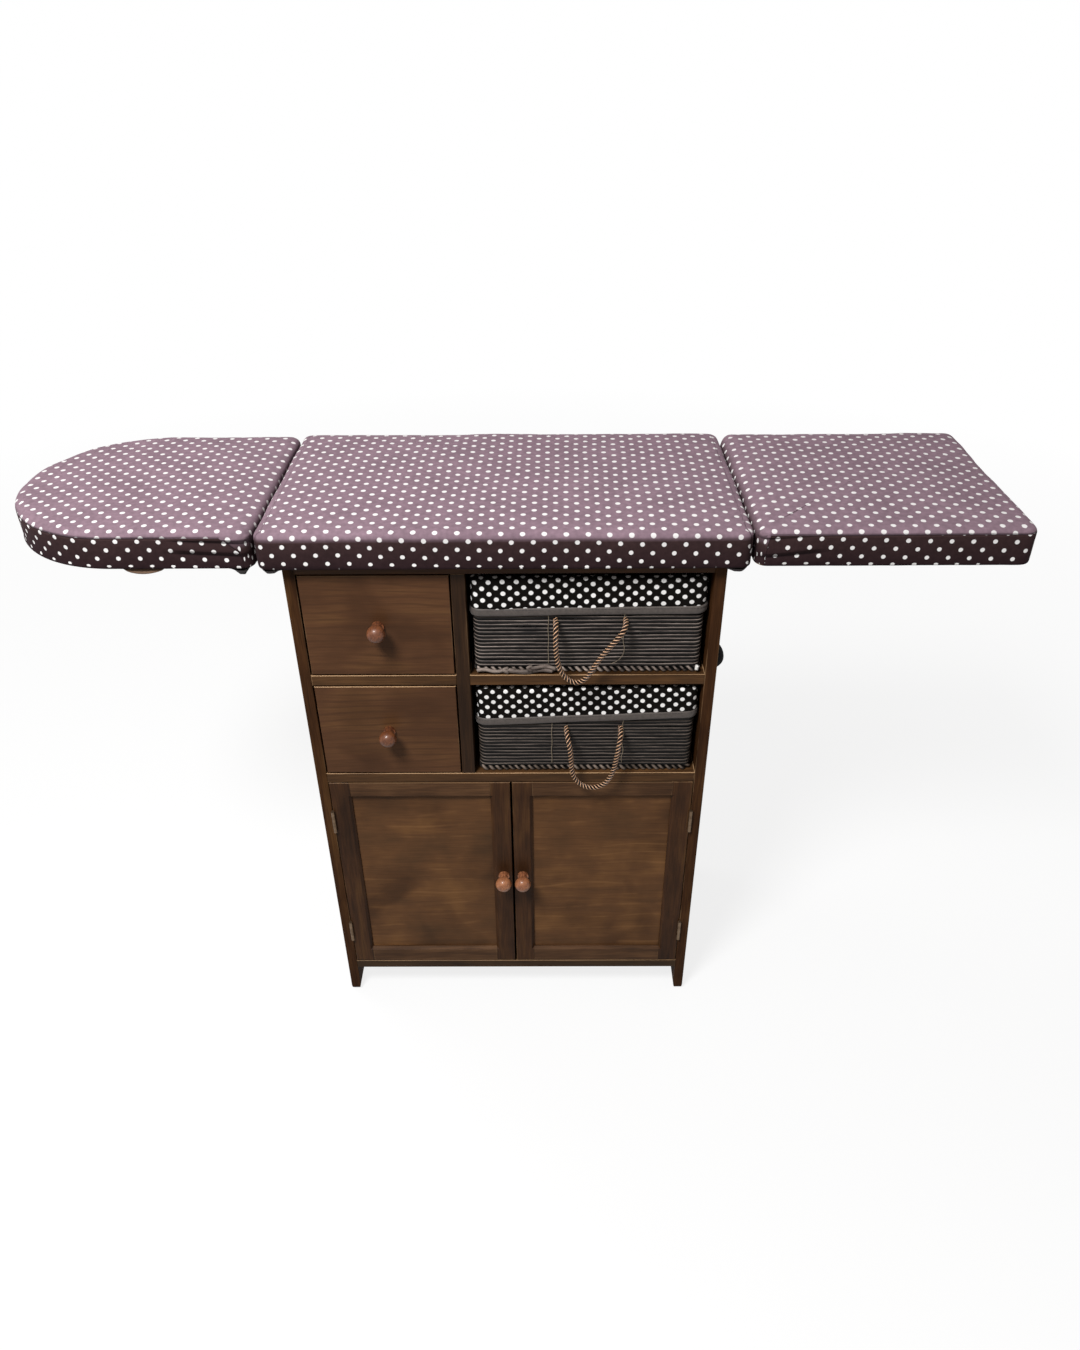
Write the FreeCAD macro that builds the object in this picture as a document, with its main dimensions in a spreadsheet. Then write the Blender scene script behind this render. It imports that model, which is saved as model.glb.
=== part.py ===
"""Ironing board cabinet: a walnut-stained cabinet under a padded folding ironing top.

Millimetres. X runs along the ironing top, Y to the back, Z up from the floor. The origin
is on the floor under the middle. Formulas are written in the words of the sheet of sizes;
their y counts from the front plane of the cabinet.
"""
import FreeCAD, Part
import Sketcher
import math
import os
import re

Vector = FreeCAD.Vector
X, Y, Z = Vector(1, 0, 0), Vector(0, 1, 0), Vector(0, 0, 1)

SIZES = [
    ("body_wide", 552, "cabinet, over the two side boards"),
    ("body_deep", 300, "cabinet, front to back"),
    ("side_thick", 15, "side boards"),
    ("board_thick", 16, "top, shelves and bottom"),
    ("back_thick", 4, "back panel"),
    ("foot_high", 54, "floor to the bottom board"),
    ("foot_deep", 46, "each foot, front to back"),
    ("foot_round", 6, "rounding at the end of a foot"),
    ("foot_nose_wide", 5, "rounding of a foot on each face, across the board"),
    ("foot_nose_high", 12, "rounding of a foot on each face, up the board"),
    ("arch_round", 20, "rounding of the arch between two feet"),
    ("edge_ease", 1, "easing of the front edges"),
    ("cupboard_high", 380, "inside of the cupboard"),
    ("bay_high", 151.5, "inside of each bay over the cupboard"),
    ("drawer_bay_wide", 193, "inside of the left bays"),
    ("divider_thick", 18, "upright between the bays"),
    ("slip", 0.3, "gap between pieces that pass each other"),
    ("overrun", 2, "how far each cutter runs past a face"),
    ("drawer_gap", 2, "gap round a drawer front"),
    ("drawer_front_thick", 15, "drawer front"),
    ("drawer_back_gap", 11, "drawer to the back panel"),
    ("drawer_wall", 10, "drawer sides and back"),
    ("drawer_head_room", 39.5, "drawer sides to the board over them"),
    ("drawer_floor", 3, "drawer bottom"),
    ("groove_deep", 4, "grooves that hold thin panels"),
    ("groove_up", 8, "underside of the drawer side to its groove"),
    ("knob_ball", 24, "knob, across the ball"),
    ("knob_ball_long", 22, "knob ball along its axis"),
    ("knob_ring", 16.5, "knob, across its foot"),
    ("knob_ring_thick", 3, "foot of the knob"),
    ("knob_neck", 12, "knob, across its neck"),
    ("knob_reach", 30, "knob, out from the wood"),
    ("knob_dowel", 8, "dowel turned on the knob"),
    ("knob_dowel_long", 11, "dowel turned on the knob"),
    ("door_thick", 16, "doors"),
    ("door_frame_wide", 29, "door stiles and rails"),
    ("door_side_gap", 0.8, "door edge to side board"),
    ("door_end_gap", 1.5, "door to the boards over and under it"),
    ("door_middle_gap", 3, "between the doors"),
    ("door_bevel", 4, "bevel round the panel"),
    ("panel_thick", 5, "door panel"),
    ("panel_set_back", 6, "face of the panel behind the frame"),
    ("knob_above_middle", 4, "door knob over the middle of the door"),
    ("knob_from_edge", 13, "door knob to the free edge of its door"),
    ("butt_long", 40, "door hinge"),
    ("butt_wide", 14, "door hinge, each plate"),
    ("butt_thick", 1.1, "door hinge plates"),
    ("butt_barrel", 5, "door hinge barrel"),
    ("butt_pin", 2.4, "door hinge pin"),
    ("butt_play", 0.1, "between closed hinge plates"),
    ("butt_from_end", 72, "middle of a hinge to the end of the door"),
    ("pin_play", 0.06, "round a hinge pin"),
    ("magnet_wide", 30, "magnet catch"),
    ("magnet_deep", 12, "magnet catch"),
    ("magnet_high", 10, "magnet catch"),
    ("magnet_apart", 60, "between the middles of the catches"),
    ("top_over_side", 26, "middle part of the ironing top, out past a side board"),
    ("top_over_front", 17.5, "middle part, out past the front and the back of the cabinet"),
    ("pad_high", 49, "board, foam and cover"),
    ("ply_thick", 12, "boards in the pads"),
    ("leaf_long", 337.5, "each leaf"),
    ("leaf_set_in", 4.5, "front edge of a leaf behind that of the middle part"),
    ("leaf_gap", 3.5, "between the pads"),
    ("cover_thick", 1.2, "cotton cover"),
    ("hem_gap", 3.5, "cabinet to the edge of the cover turned in under the board"),
    ("pad_edge", 4, "rounding of the long edges of a pad"),
    ("pad_corner", 14, "rounding of the corners of a pad, from above"),
    ("crown_high", 3, "middle of a pad over its edge"),
    ("crown_run", 90, "from the edge to the flat middle of a pad"),
    ("flap_long", 60, "hinge of a leaf"),
    ("flap_wide", 20, "hinge of a leaf, each plate"),
    ("flap_thick", 1.5, "hinge plates of a leaf"),
    ("flap_barrel", 6, "barrel of a leaf hinge"),
    ("flap_pin", 3, "pin of a leaf hinge"),
    ("flap_from_end", 62, "middle of the hinge to the edge of the leaf"),
    ("stay_tilt", 27, "prop stay over the level, in degrees"),
    ("stay_drop", 80, "rest plate down to the pivot of the stay"),
    ("stay_off", 5.5, "pivot of the stay to the side board"),
    ("stay_wide", 18, "prop stay"),
    ("stay_thick", 4, "prop stay"),
    ("stay_eye", 6.6, "eye at the foot of the stay"),
    ("stay_pin", 3, "pivot pin of the stay"),
    ("bracket_thick", 2, "bracket of the stay"),
    ("bracket_high", 34, "bracket of the stay"),
    ("ear_long", 9, "ears of the bracket, out from the side board"),
    ("ear_high", 8, "ears of the bracket"),
    ("rest_long", 30, "rest plate under the leaf"),
    ("rest_wide", 28, "rest plate under the leaf"),
    ("rest_thick", 2, "rest plate under the leaf"),
    ("lip_high", 1.4, "lip that stops the stay"),
    ("lip_gap", 2.5, "end of the stay to the lip"),
    ("lip_thick", 2, "lip that stops the stay"),
    ("buffer_across", 39, "rubber buffer on the side board, front to back"),
    ("buffer_over", 32, "buffer, above its thickest place"),
    ("buffer_under", 20, "buffer, below its thickest place"),
    ("buffer_down", 217, "underside of the ironing top to the thickest place of a buffer"),
    ("buffer_back", 118, "front plane to the middle of a buffer"),
    ("basket_side_gap", 5.5, "basket to the side of its bay"),
    ("basket_back_gap", 13, "basket to the back panel"),
    ("basket_head_room", 9.5, "liner to the board over it"),
    ("basket_set_back", 5, "front of a basket behind the front plane"),
    ("basket_round", 12, "upright corners of a basket"),
    ("weave_thick", 6, "woven wall"),
    ("wire_thick", 4, "wire frame of a basket"),
    ("wire_down", 8, "rim of the weave to the upper ring"),
    ("flap_drop", 56, "liner turned down outside the basket"),
    ("rope_thick", 6.5, "rope handles"),
]

# Places that follow from the sizes, as formulas in the same words.
PLACES = {
    "front_y": "(knob_reach - body_deep - top_over_front) / 2",
    "inner_half": "body_wide / 2 - side_thick",
    "shelf_deep": "body_deep - back_thick",
    "cupboard_z": "foot_high + board_thick",
    "middle_z": "cupboard_z + cupboard_high",
    "low_bay_z": "middle_z + board_thick",
    "shelf_z": "low_bay_z + bay_high",
    "high_bay_z": "shelf_z + board_thick",
    "top_z": "high_bay_z + bay_high",
    "pad_z": "top_z + board_thick",
    "divider_x": "drawer_bay_wide - inner_half",
    "basket_bay_x": "divider_x + divider_thick",
    "basket_bay_wide": "inner_half - basket_bay_x",
    "drawer_x": "drawer_gap - inner_half",
    "drawer_wide": "drawer_bay_wide - 2 * drawer_gap",
    "drawer_deep": "shelf_deep - drawer_back_gap",
    "drawer_wall_high": "bay_high - drawer_head_room",
    "drawer_front_high": "bay_high - 2 * drawer_gap",
    "door_z": "cupboard_z + door_end_gap",
    "door_high": "cupboard_high - 2 * door_end_gap",
    "door_wide": "inner_half - door_side_gap - door_middle_gap / 2",
    "butt_x": "inner_half - door_side_gap / 2",
    "butt_y": "-butt_barrel / 2 - slip",
    "let_in": "butt_thick - (door_side_gap - butt_play) / 2",
    "top_wide": "body_wide + 2 * top_over_side",
    "top_deep": "body_deep + 2 * top_over_front",
    "leaf_deep": "top_deep - 2 * leaf_set_in",
    "hem_wide": "top_over_front - hem_gap",
    "flap_x": "(top_wide + leaf_gap) / 2",
    "flap_z": "pad_z - cover_thick - flap_barrel / 2",
    "leaf_x": "top_wide / 2 + leaf_gap",
    "pad_middle_y": "body_deep / 2",
    "stay_x": "body_wide / 2 + stay_off",
    "stay_z": "pad_z - rest_thick - stay_drop",
    "stay_long": "(stay_drop - stay_thick / 2 - slip) / sin(stay_tilt)",
    "stay_tip_x": "stay_x + stay_long * cos(stay_tilt)",
    "buffer_proud": "top_over_side + leaf_gap / 2 + (pad_z - flap_z) - slip",
    "buffer_up": "pad_z - buffer_down",
    "basket_x": "basket_bay_x + basket_side_gap",
    "basket_wide": "basket_bay_wide - 2 * basket_side_gap",
    "basket_deep": "shelf_deep - basket_set_back - basket_back_gap",
    "basket_high": "bay_high - basket_head_room",
    "weave_high": "basket_high - cover_thick - slip",
}

doc = FreeCAD.newDocument("ironing_board_cabinet")
sheet = doc.addObject("Spreadsheet::Sheet", "sizes")
for row, (alias, number, note) in enumerate(SIZES, start=1):
    sheet.set("A%d" % row, alias)
    sheet.set("B%d" % row, str(number))
    sheet.set("C%d" % row, note)
    sheet.setAlias("B%d" % row, alias)
doc.recompute()
ALIASES = {alias for alias, number, note in SIZES}


def bound(formula):
    """The formula with each word written as its cell, or as the place that it stands for."""
    def spell(match):
        word = match.group(0)
        if word in PLACES:
            return "(" + bound(PLACES[word]) + ")"
        if word in ALIASES:
            return "sizes." + word
        return word
    return re.sub(r"[a-z][a-z_]*", spell, formula)


def read(formula):
    """A size or a place as a number, for the shapes that no feature makes."""
    return float(sheet.evalExpression(bound(formula)))


def place(piece, at, turn=None, plane="front_y"):
    """Put a piece at three formulas; y counts from the front plane of the cabinet."""
    if turn is not None:
        piece.Placement = FreeCAD.Placement(Vector(), turn)
    piece.setExpression("Placement.Base.x", bound(at[0]))
    piece.setExpression("Placement.Base.y", bound(plane + " + (" + at[1] + ")"))
    piece.setExpression("Placement.Base.z", bound(at[2]))
    return piece


def turned(x_to, y_to):
    """The turn that takes X and Y to these two directions."""
    return FreeCAD.Rotation(x_to, y_to, x_to.cross(y_to), "XYZ")


def box(name, at, size, plane="front_y"):
    piece = doc.addObject("Part::Box", name)
    for side, formula in zip(("Length", "Width", "Height"), size):
        piece.setExpression(side, bound(formula))
    return place(piece, at, plane=plane)


def rod(name, at, across, length, turn=None, plane="front_y"):
    """A round bar that rises from a point, or runs where the turn sends it."""
    piece = doc.addObject("Part::Cylinder", name)
    piece.setExpression("Radius", bound("(" + across + ") / 2"))
    piece.setExpression("Height", bound(length))
    return place(piece, at, turn, plane)


def oval_rod(name, at, high, wide, length):
    """A bar along Y of oval section, from half its height and half its width."""
    ring = doc.addObject("Part::Ellipse", name + "_ring")
    ring.setExpression("MajorRadius", bound(high))
    ring.setExpression("MinorRadius", bound(wide))
    place(ring, at, turned(Z, X))
    bar = doc.addObject("Part::Extrusion", name)
    bar.Base = ring
    bar.DirMode = "Custom"
    bar.Dir = Y
    bar.setExpression("LengthFwd", bound(length))
    bar.Solid = True
    return bar


def join(name, pieces):
    piece = doc.addObject("Part::MultiFuse", name)
    piece.Shapes = pieces
    return piece


def cut(name, base, tool):
    piece = doc.addObject("Part::Cut", name)
    piece.Base = base
    piece.Tool = tool
    return piece


def group(name, pieces):
    """Separate solids under one name."""
    piece = doc.addObject("Part::Compound", name)
    piece.Links = pieces
    return piece


def outline(body, role, steps):
    """A closed outline of level and upright lines from the origin of one of the body's planes.

    Each step is a direction, "x" or "y", a sign and a length; the last two lines close it.
    """
    sketch = body.newObject("Sketcher::SketchObject", body.Name + "_outline")
    plane = [part for part in body.Origin.OriginFeatures if part.Role == role][0]
    sketch.AttachmentSupport = (plane, [""])
    sketch.MapMode = "FlatFace"
    at = Vector()
    for way, sign, length in steps:
        end = at + (X if way == "x" else Y) * sign
        sketch.addGeometry(Part.LineSegment(at, end), False)
        at = end
    count = len(steps)
    for index, (way, sign, length) in enumerate(steps):
        sketch.addConstraint(Sketcher.Constraint("Coincident", index, 2, (index + 1) % count, 1))
        kind = "Horizontal" if way == "x" else "Vertical"
        sketch.addConstraint(Sketcher.Constraint(kind, index))
    sketch.addConstraint(Sketcher.Constraint("Coincident", 0, 1, -1, 1))
    for index, (way, sign, length) in enumerate(steps[:-2]):
        first, last = (1, 2) if sign > 0 else (2, 1)
        kind = "DistanceX" if way == "x" else "DistanceY"
        rule = Sketcher.Constraint(kind, index, first, index, last, 1)
        number = sketch.addConstraint(rule)
        sketch.renameConstraint(number, "step_%d" % index)
        sketch.setExpression("Constraints.step_%d" % index, bound(length))
    return sketch


def pad_of(body, sketch, length, back=False):
    feature = body.newObject("PartDesign::Pad", body.Name + "_pad")
    feature.Profile = sketch
    feature.Reversed = back
    feature.setExpression("Length", bound(length))
    return feature


def ease(body, radius, chosen):
    """Round the edges of the body's last feature that a test on an edge chooses."""
    doc.recompute()
    last = body.Tip
    edges = last.Shape.Edges
    names = ["Edge%d" % (index + 1) for index, edge in enumerate(edges) if chosen(edge)]
    feature = body.newObject("PartDesign::Fillet", body.Name + "_eased")
    feature.Base = (last, names)
    feature.setExpression("Radius", bound(radius))
    body.Tip = feature
    return feature


def lies_at(edge, way, height):
    """Whether an edge lies in the plane at this height along a direction."""
    return all(abs(vertex.Point.dot(way) - height) < Part.Precision.confusion()
               for vertex in edge.Vertexes)


def runs_along(edge, way):
    if len(edge.Vertexes) < 2:
        return False
    run = edge.Vertexes[1].Point - edge.Vertexes[0].Point
    return abs(run.dot(way)) > run.Length * math.cos(math.radians(1))


def rectangle(width, height):
    return [("x", 1, width), ("y", 1, height), ("x", -1, width), ("y", -1, height)]


def board(name, at, size):
    """A planed board whose front edges are eased."""
    body = doc.addObject("PartDesign::Body", name)
    sketch = outline(body, "XZ_Plane", rectangle(size[0], size[2]))
    pad_of(body, sketch, size[1], back=True)
    ease(body, "edge_ease", lambda edge: lies_at(edge, Y, 0))
    return place(body, at)


def rounded(name, at, size, radius):
    """A block whose upright corners are rounded."""
    body = doc.addObject("PartDesign::Body", name)
    sketch = outline(body, "XY_Plane", rectangle(size[0], size[1]))
    pad_of(body, sketch, size[2])
    ease(body, radius, lambda edge: runs_along(edge, Z))
    return place(body, at)


def mirrored(hand, near, wide):
    """Where a piece starts in x, if it spans this width outwards from near on one hand."""
    if hand > 0:
        return near
    return "-(" + near + ") - (" + wide + ")"


def signed(hand, formula):
    return formula if hand > 0 else "-(" + formula + ")"


HANDS = (("left", -1), ("right", 1))
BUTTS = (("low", "door_z + butt_from_end"), ("high", "door_z + door_high - butt_from_end"))
BUTT_SIZES = ("butt_long", "butt_wide", "butt_thick", "butt_barrel", "butt_pin")
FLAP_SIZES = ("flap_long", "flap_wide", "flap_thick", "flap_barrel", "flap_pin")
RIGHT_ANGLE = 90
NODES = []


def keep(*pieces):
    """These pieces are nodes of the part, in this order."""
    NODES.extend(pieces)


def hinge_plate(name, sizes, reach, start, ends, at, turn):
    """One plate of a hinge with its knuckles, on a barrel along Z through the origin.

    The plate runs in Y from start, between reach and one plate thickness more in X. A plate
    with ends holds the pin at the two end knuckles, the other in the middle one.
    """
    long, wide, thick, barrel, pin = sizes
    third = long + " / 3"
    low = "-" + long + " / 2"
    pieces = [box(name + "_plate", (reach, start, low), (thick, wide, long), "0")]
    spans = [low, third + " / 2 + slip"] if ends else ["-" + third + " / 2"]
    size = third + " - slip" if ends else third
    for index, span in enumerate(spans):
        pieces.append(box("%s_web_%d" % (name, index), (reach, "0", span), (thick, start, size), "0"))
        pieces.append(rod("%s_knuckle_%d" % (name, index), ("0", "0", span), barrel, size, plane="0"))
    bore = rod(name + "_bore", ("0", "0", low + " - overrun"), pin + " + 2 * pin_play",
               long + " + 2 * overrun", plane="0")
    return place(cut(name, join(name + "_solid", pieces), bore), at, turn)


# Cabinet body
for hand_name, hand in HANDS:
    side = doc.addObject("PartDesign::Body", "side_%s_board" % hand_name)
    arch_wide = "body_deep - 2 * foot_deep"
    steps = [("x", 1, "foot_deep"), ("y", 1, "foot_high"), ("x", 1, arch_wide),
             ("y", -1, "foot_high"), ("x", 1, "foot_deep"), ("y", 1, "pad_z"),
             ("x", -1, "body_deep"), ("y", -1, "pad_z")]
    pad_of(side, outline(side, "YZ_Plane", steps), "side_thick")
    ease(side, "arch_round", lambda edge: runs_along(edge, X) and lies_at(edge, Z, read("foot_high")))
    ease(side, "foot_round", lambda edge: runs_along(edge, X) and lies_at(edge, Z, 0))
    ease(side, "edge_ease", lambda edge: runs_along(edge, Z) and lies_at(edge, Y, 0))
    place(side, (mirrored(hand, "inner_half", "side_thick"), "0", "0"))
    # Each foot is rounded to its two faces.
    slots = []
    for face_name, start, middle in (
            ("inner", mirrored(hand, "inner_half - overrun", "overrun + foot_nose_wide"),
             signed(hand, "inner_half + foot_nose_wide")),
            ("outer", mirrored(hand, "body_wide / 2 - foot_nose_wide", "overrun + foot_nose_wide"),
             signed(hand, "body_wide / 2 - foot_nose_wide"))):
        nose = "side_%s_nose_%s" % (hand_name, face_name)
        long = "body_deep + 2 * overrun"
        corner = box(nose + "_corner", (start, "-overrun", "-overrun"),
                     ("overrun + foot_nose_wide", long, "overrun + foot_nose_high"))
        oval = oval_rod(nose + "_oval", (middle, "-overrun", "foot_nose_high"), "foot_nose_high",
                        "foot_nose_wide", long)
        slots.append(cut(nose, corner, oval))
    # The hinge plates of the door are let into the inner face.
    for end_name, hinge_z in BUTTS:
        at = (mirrored(hand, "inner_half - overrun", "overrun + let_in"), "-overrun",
              hinge_z + " - butt_long / 2")
        size = ("overrun + let_in", "overrun + butt_wide", "butt_long")
        slots.append(box("side_%s_slot_%s" % (hand_name, end_name), at, size))
    keep(cut("side_%s" % hand_name, side, join("side_%s_slots" % hand_name, slots)))

inner = "2 * inner_half"
keep(
    board("bottom_board", ("-inner_half", "0", "foot_high"), (inner, "shelf_deep", "board_thick")),
    board("middle_shelf", ("-inner_half", "0", "middle_z"), (inner, "shelf_deep", "board_thick")),
    board("top_board", ("-inner_half", "0", "top_z"), (inner, "shelf_deep", "board_thick")),
    board("divider", ("divider_x", "0", "low_bay_z"),
          ("divider_thick", "shelf_deep", "2 * bay_high + board_thick")),
    board("shelf_left", ("-inner_half", "0", "shelf_z"),
          ("drawer_bay_wide", "shelf_deep", "board_thick")),
    board("shelf_right", ("basket_bay_x", "0", "shelf_z"),
          ("basket_bay_wide", "shelf_deep", "board_thick")),
    box("back_panel", ("-inner_half", "shelf_deep", "foot_high"),
        (inner, "back_thick", "pad_z - foot_high")),
)


def knob(name, x, z):
    """A turned knob with its dowel, on the front of a board."""
    out = turned(X, Z)
    reach = "knob_reach - knob_ring_thick - knob_ball_long / 2"
    ring = rod(name + "_ring", (x, "0", z), "knob_ring", "knob_ring_thick", out)
    neck = rod(name + "_neck", (x, "0", z), "knob_neck", reach, out)
    dowel = rod(name + "_dowel", (x, "knob_dowel_long", z), "knob_dowel",
                "knob_dowel_long + knob_ring_thick", out)
    ball = doc.addObject("Part::Ellipsoid", name + "_ball")
    ball.setExpression("Radius1", bound("knob_ball_long / 2"))
    ball.setExpression("Radius2", bound("knob_ball / 2"))
    ball.setExpression("Radius3", bound("knob_ball / 2"))
    place(ball, (x, "knob_ball_long / 2 - knob_reach", z), out)
    return join(name, [ring, neck, dowel, ball])


def dowel_hole(name, x, z):
    return rod(name, (x, "knob_dowel_long + slip", z), "knob_dowel + slip",
               "knob_dowel_long + slip + overrun", turned(X, Z))


# Drawers: a front with a box of thin boards behind it, running on the shelf
for level, floor_z in (("upper", "high_bay_z"), ("lower", "low_bay_z")):
    name = "drawer_" + level
    x = "drawer_x + drawer_wide / 2"
    front_z = floor_z + " + drawer_gap"
    knob_z = front_z + " + drawer_front_high / 2"
    wall_z = floor_z + " + slip"
    wall_long = "drawer_deep - drawer_front_thick"
    blank = board(name + "_front_board", ("drawer_x", "0", front_z),
                  ("drawer_wide", "drawer_front_thick", "drawer_front_high"))
    hole = dowel_hole(name + "_hole", x, knob_z)
    groove = box(name + "_groove",
                 ("drawer_x + drawer_wall - groove_deep", "drawer_front_thick - groove_deep",
                  wall_z + " + groove_up"),
                 ("drawer_wide - 2 * drawer_wall + 2 * groove_deep",
                  "drawer_deep + groove_deep", "drawer_floor"))
    keep(cut(name + "_front", blank, join(name + "_front_cuts", [hole, groove])))
    walls = []
    for hand_name, wall_x in (("left", "drawer_x"), ("right", "drawer_x + drawer_wide - drawer_wall")):
        wall = box("%s_side_%s_board" % (name, hand_name), (wall_x, "drawer_front_thick", wall_z),
                   ("drawer_wall", wall_long, "drawer_wall_high"))
        walls.append(cut("%s_side_%s" % (name, hand_name), wall, groove))
    keep(group(name + "_sides", walls))
    keep(box(name + "_back",
             ("drawer_x + drawer_wall", "drawer_deep - drawer_wall",
              wall_z + " + groove_up + drawer_floor"),
             ("drawer_wide - 2 * drawer_wall", "drawer_wall",
              "drawer_wall_high - groove_up - drawer_floor")))
    keep(box(name + "_bottom",
             ("drawer_x + drawer_wall - groove_deep + slip",
              "drawer_front_thick - groove_deep + slip", wall_z + " + groove_up"),
             ("drawer_wide - 2 * drawer_wall + 2 * groove_deep - 2 * slip",
              "drawer_deep - drawer_front_thick + groove_deep - slip", "drawer_floor")))
    keep(knob(name + "_knob", x, knob_z))

# Doors: a frame of stiles and rails round a thin panel
for hand_name, hand in HANDS:
    name = "door_" + hand_name
    low = "door_middle_gap / 2"
    open_x = low + " + door_frame_wide"
    open_wide = "door_wide - 2 * door_frame_wide"
    open_z = "door_z + door_frame_wide"
    open_high = "door_high - 2 * door_frame_wide"
    groove = box(name + "_groove",
                 (mirrored(hand, open_x + " - groove_deep", open_wide + " + 2 * groove_deep"),
                  "panel_set_back", open_z + " - groove_deep"),
                 (open_wide + " + 2 * groove_deep", "panel_thick", open_high + " + 2 * groove_deep"))
    bevel = doc.addObject("Part::Wedge", name + "_bevel")
    for side, formula in (
            ("Xmin", "0"), ("Ymin", "0"), ("Zmin", "0"), ("Ymax", "door_bevel"),
            ("Xmax", open_wide + " + 2 * door_bevel"), ("Zmax", open_high + " + 2 * door_bevel"),
            ("X2min", "door_bevel"), ("Z2min", "door_bevel"),
            ("X2max", open_wide + " + door_bevel"), ("Z2max", open_high + " + door_bevel")):
        bevel.setExpression(side, bound(formula))
    place(bevel, (mirrored(hand, open_x + " - door_bevel", open_wide + " + 2 * door_bevel"), "0",
                  open_z + " - door_bevel"))
    knob_x = signed(hand, low + " + knob_from_edge")
    knob_z = "door_z + door_high / 2 + knob_above_middle"
    slots = []
    plates = []
    for end_name, hinge_z in BUTTS:
        slots.append(box("%s_slot_%s" % (name, end_name),
                         (mirrored(hand, low + " + door_wide - let_in", "let_in + overrun"),
                          "-overrun", hinge_z + " - butt_long / 2"),
                         ("let_in + overrun", "overrun + butt_wide", "butt_long")))
        axis = (signed(hand, "butt_x"), "butt_y", hinge_z)
        plates.append(hinge_plate("%s_hinge_%s" % (name, end_name), BUTT_SIZES, "butt_play / 2",
                                  "-butt_y", False, axis, turned(X * -hand, Y)))
    hinge_slots = join(name + "_slots", [groove, bevel] + slots)
    stile = board(name + "_hinge_stile_board",
                  (mirrored(hand, low + " + door_wide - door_frame_wide", "door_frame_wide"), "0",
                   "door_z"), ("door_frame_wide", "door_thick", "door_high"))
    keep(cut(name + "_hinge_stile", stile, hinge_slots))
    stile = board(name + "_knob_stile_board",
                  (mirrored(hand, low, "door_frame_wide"), "0", "door_z"),
                  ("door_frame_wide", "door_thick", "door_high"))
    hole = dowel_hole(name + "_hole", knob_x, knob_z)
    keep(cut(name + "_knob_stile", stile, join(name + "_knob_cuts", [groove, bevel, hole])))
    rails = []
    for end_name, rail_z in (("low", "door_z"), ("high", "door_z + door_high - door_frame_wide")):
        rail = box("%s_rail_%s_board" % (name, end_name), (mirrored(hand, open_x, open_wide), "0", rail_z),
                   (open_wide, "door_thick", "door_frame_wide"))
        rails.append(cut("%s_rail_%s" % (name, end_name), rail, join(
            "%s_rail_%s_cuts" % (name, end_name), [groove, bevel])))
    keep(group(name + "_rails", rails))
    panel_x = mirrored(hand, open_x + " - groove_deep + slip", open_wide + " + 2 * groove_deep - 2 * slip")
    keep(box(name + "_panel", (panel_x, "panel_set_back", open_z + " - groove_deep + slip"),
             (open_wide + " + 2 * groove_deep - 2 * slip", "panel_thick",
              open_high + " + 2 * groove_deep - 2 * slip")))
    keep(knob(name + "_knob", knob_x, knob_z))
    keep(group(name + "_hinge_plates", plates))

# Fixed halves of the door hinges, in the side boards, and their pins
plates = []
pins = []
for hand_name, hand in HANDS:
    for end_name, hinge_z in BUTTS:
        axis = (signed(hand, "butt_x"), "butt_y", hinge_z)
        plates.append(hinge_plate("side_hinge_%s_%s" % (hand_name, end_name), BUTT_SIZES,
                                  "butt_play / 2", "-butt_y", True, axis, turned(X * hand, Y)))
        pins.append(rod("door_pin_%s_%s" % (hand_name, end_name),
                        (axis[0], axis[1], hinge_z + " - butt_long / 2"), "butt_pin", "butt_long"))
keep(group("door_hinge_fixed_plates", plates))

magnets = []
for hand_name, hand in HANDS:
    magnets.append(box("magnet_" + hand_name,
                       (mirrored(hand, "magnet_apart / 2 - magnet_wide / 2", "magnet_wide"),
                        "door_thick + slip", "middle_z - magnet_high"),
                       ("magnet_wide", "magnet_deep", "magnet_high")))
keep(group("magnet_catches", magnets))


# Ironing top: three padded boards
def plan(inset, far, deep, height, round_end):
    """The outline of a pad from above, from x 0 to far, drawn in by an inset, at a height."""
    way = 1 if far > 0 else -1
    near, end, half = inset, abs(far) - inset, deep / 2 - inset
    small = max(read("pad_corner") - inset, read("pad_edge") / 2)
    big = half if round_end else small
    corners = [(near, -half, small, 180), (end, -half, big, 270), (end, half, big, 0),
               (near, half, small, 90)]
    edges = []
    last = None
    for x, y, radius, start in corners:
        centre = Vector(x + (radius if start in (180, 90) else -radius),
                        y + (radius if start in (180, 270) else -radius), height)
        arc = [centre + Vector(math.cos(math.radians(start + step)),
                               math.sin(math.radians(start + step)), 0) * radius
               for step in (0, 45, 90)]
        arc = [Vector(point.x * way, point.y, point.z) for point in arc]
        if last is not None and (last - arc[0]).Length > Part.Precision.confusion():
            edges.append(Part.LineSegment(last, arc[0]).toShape())
        edges.append(Part.Arc(*arc).toShape())
        last = arc[2]
    edges.append(Part.LineSegment(last, edges[0].Vertexes[0].Point).toShape())
    return Part.Wire(edges)


CROWN_SHARES = ((0, 0), (0.25, 0.55), (0.6, 0.88), (1, 1))  # run from the edge, height


def padded(shrink, far, deep, round_end):
    """The form of a pad whose underside is at 0: a straight band under a crowned face."""
    low = -read("cover_thick") + shrink
    high = read("pad_high") - shrink
    edge, crown, run = read("pad_edge"), read("crown_high"), read("crown_run")
    levels = [(low, 0), (high - crown - edge, 0), (high - crown - edge * (1 - math.sqrt(0.5)),
                                                   edge * (1 - math.sqrt(0.5)))]
    levels += [(high - crown + crown * rise, edge + (run - edge) * share)
               for share, rise in CROWN_SHARES]
    wires = [plan(inset + shrink, far, deep, height, round_end) for height, inset in levels]
    return Part.makeLoft(wires, True, True)


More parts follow.
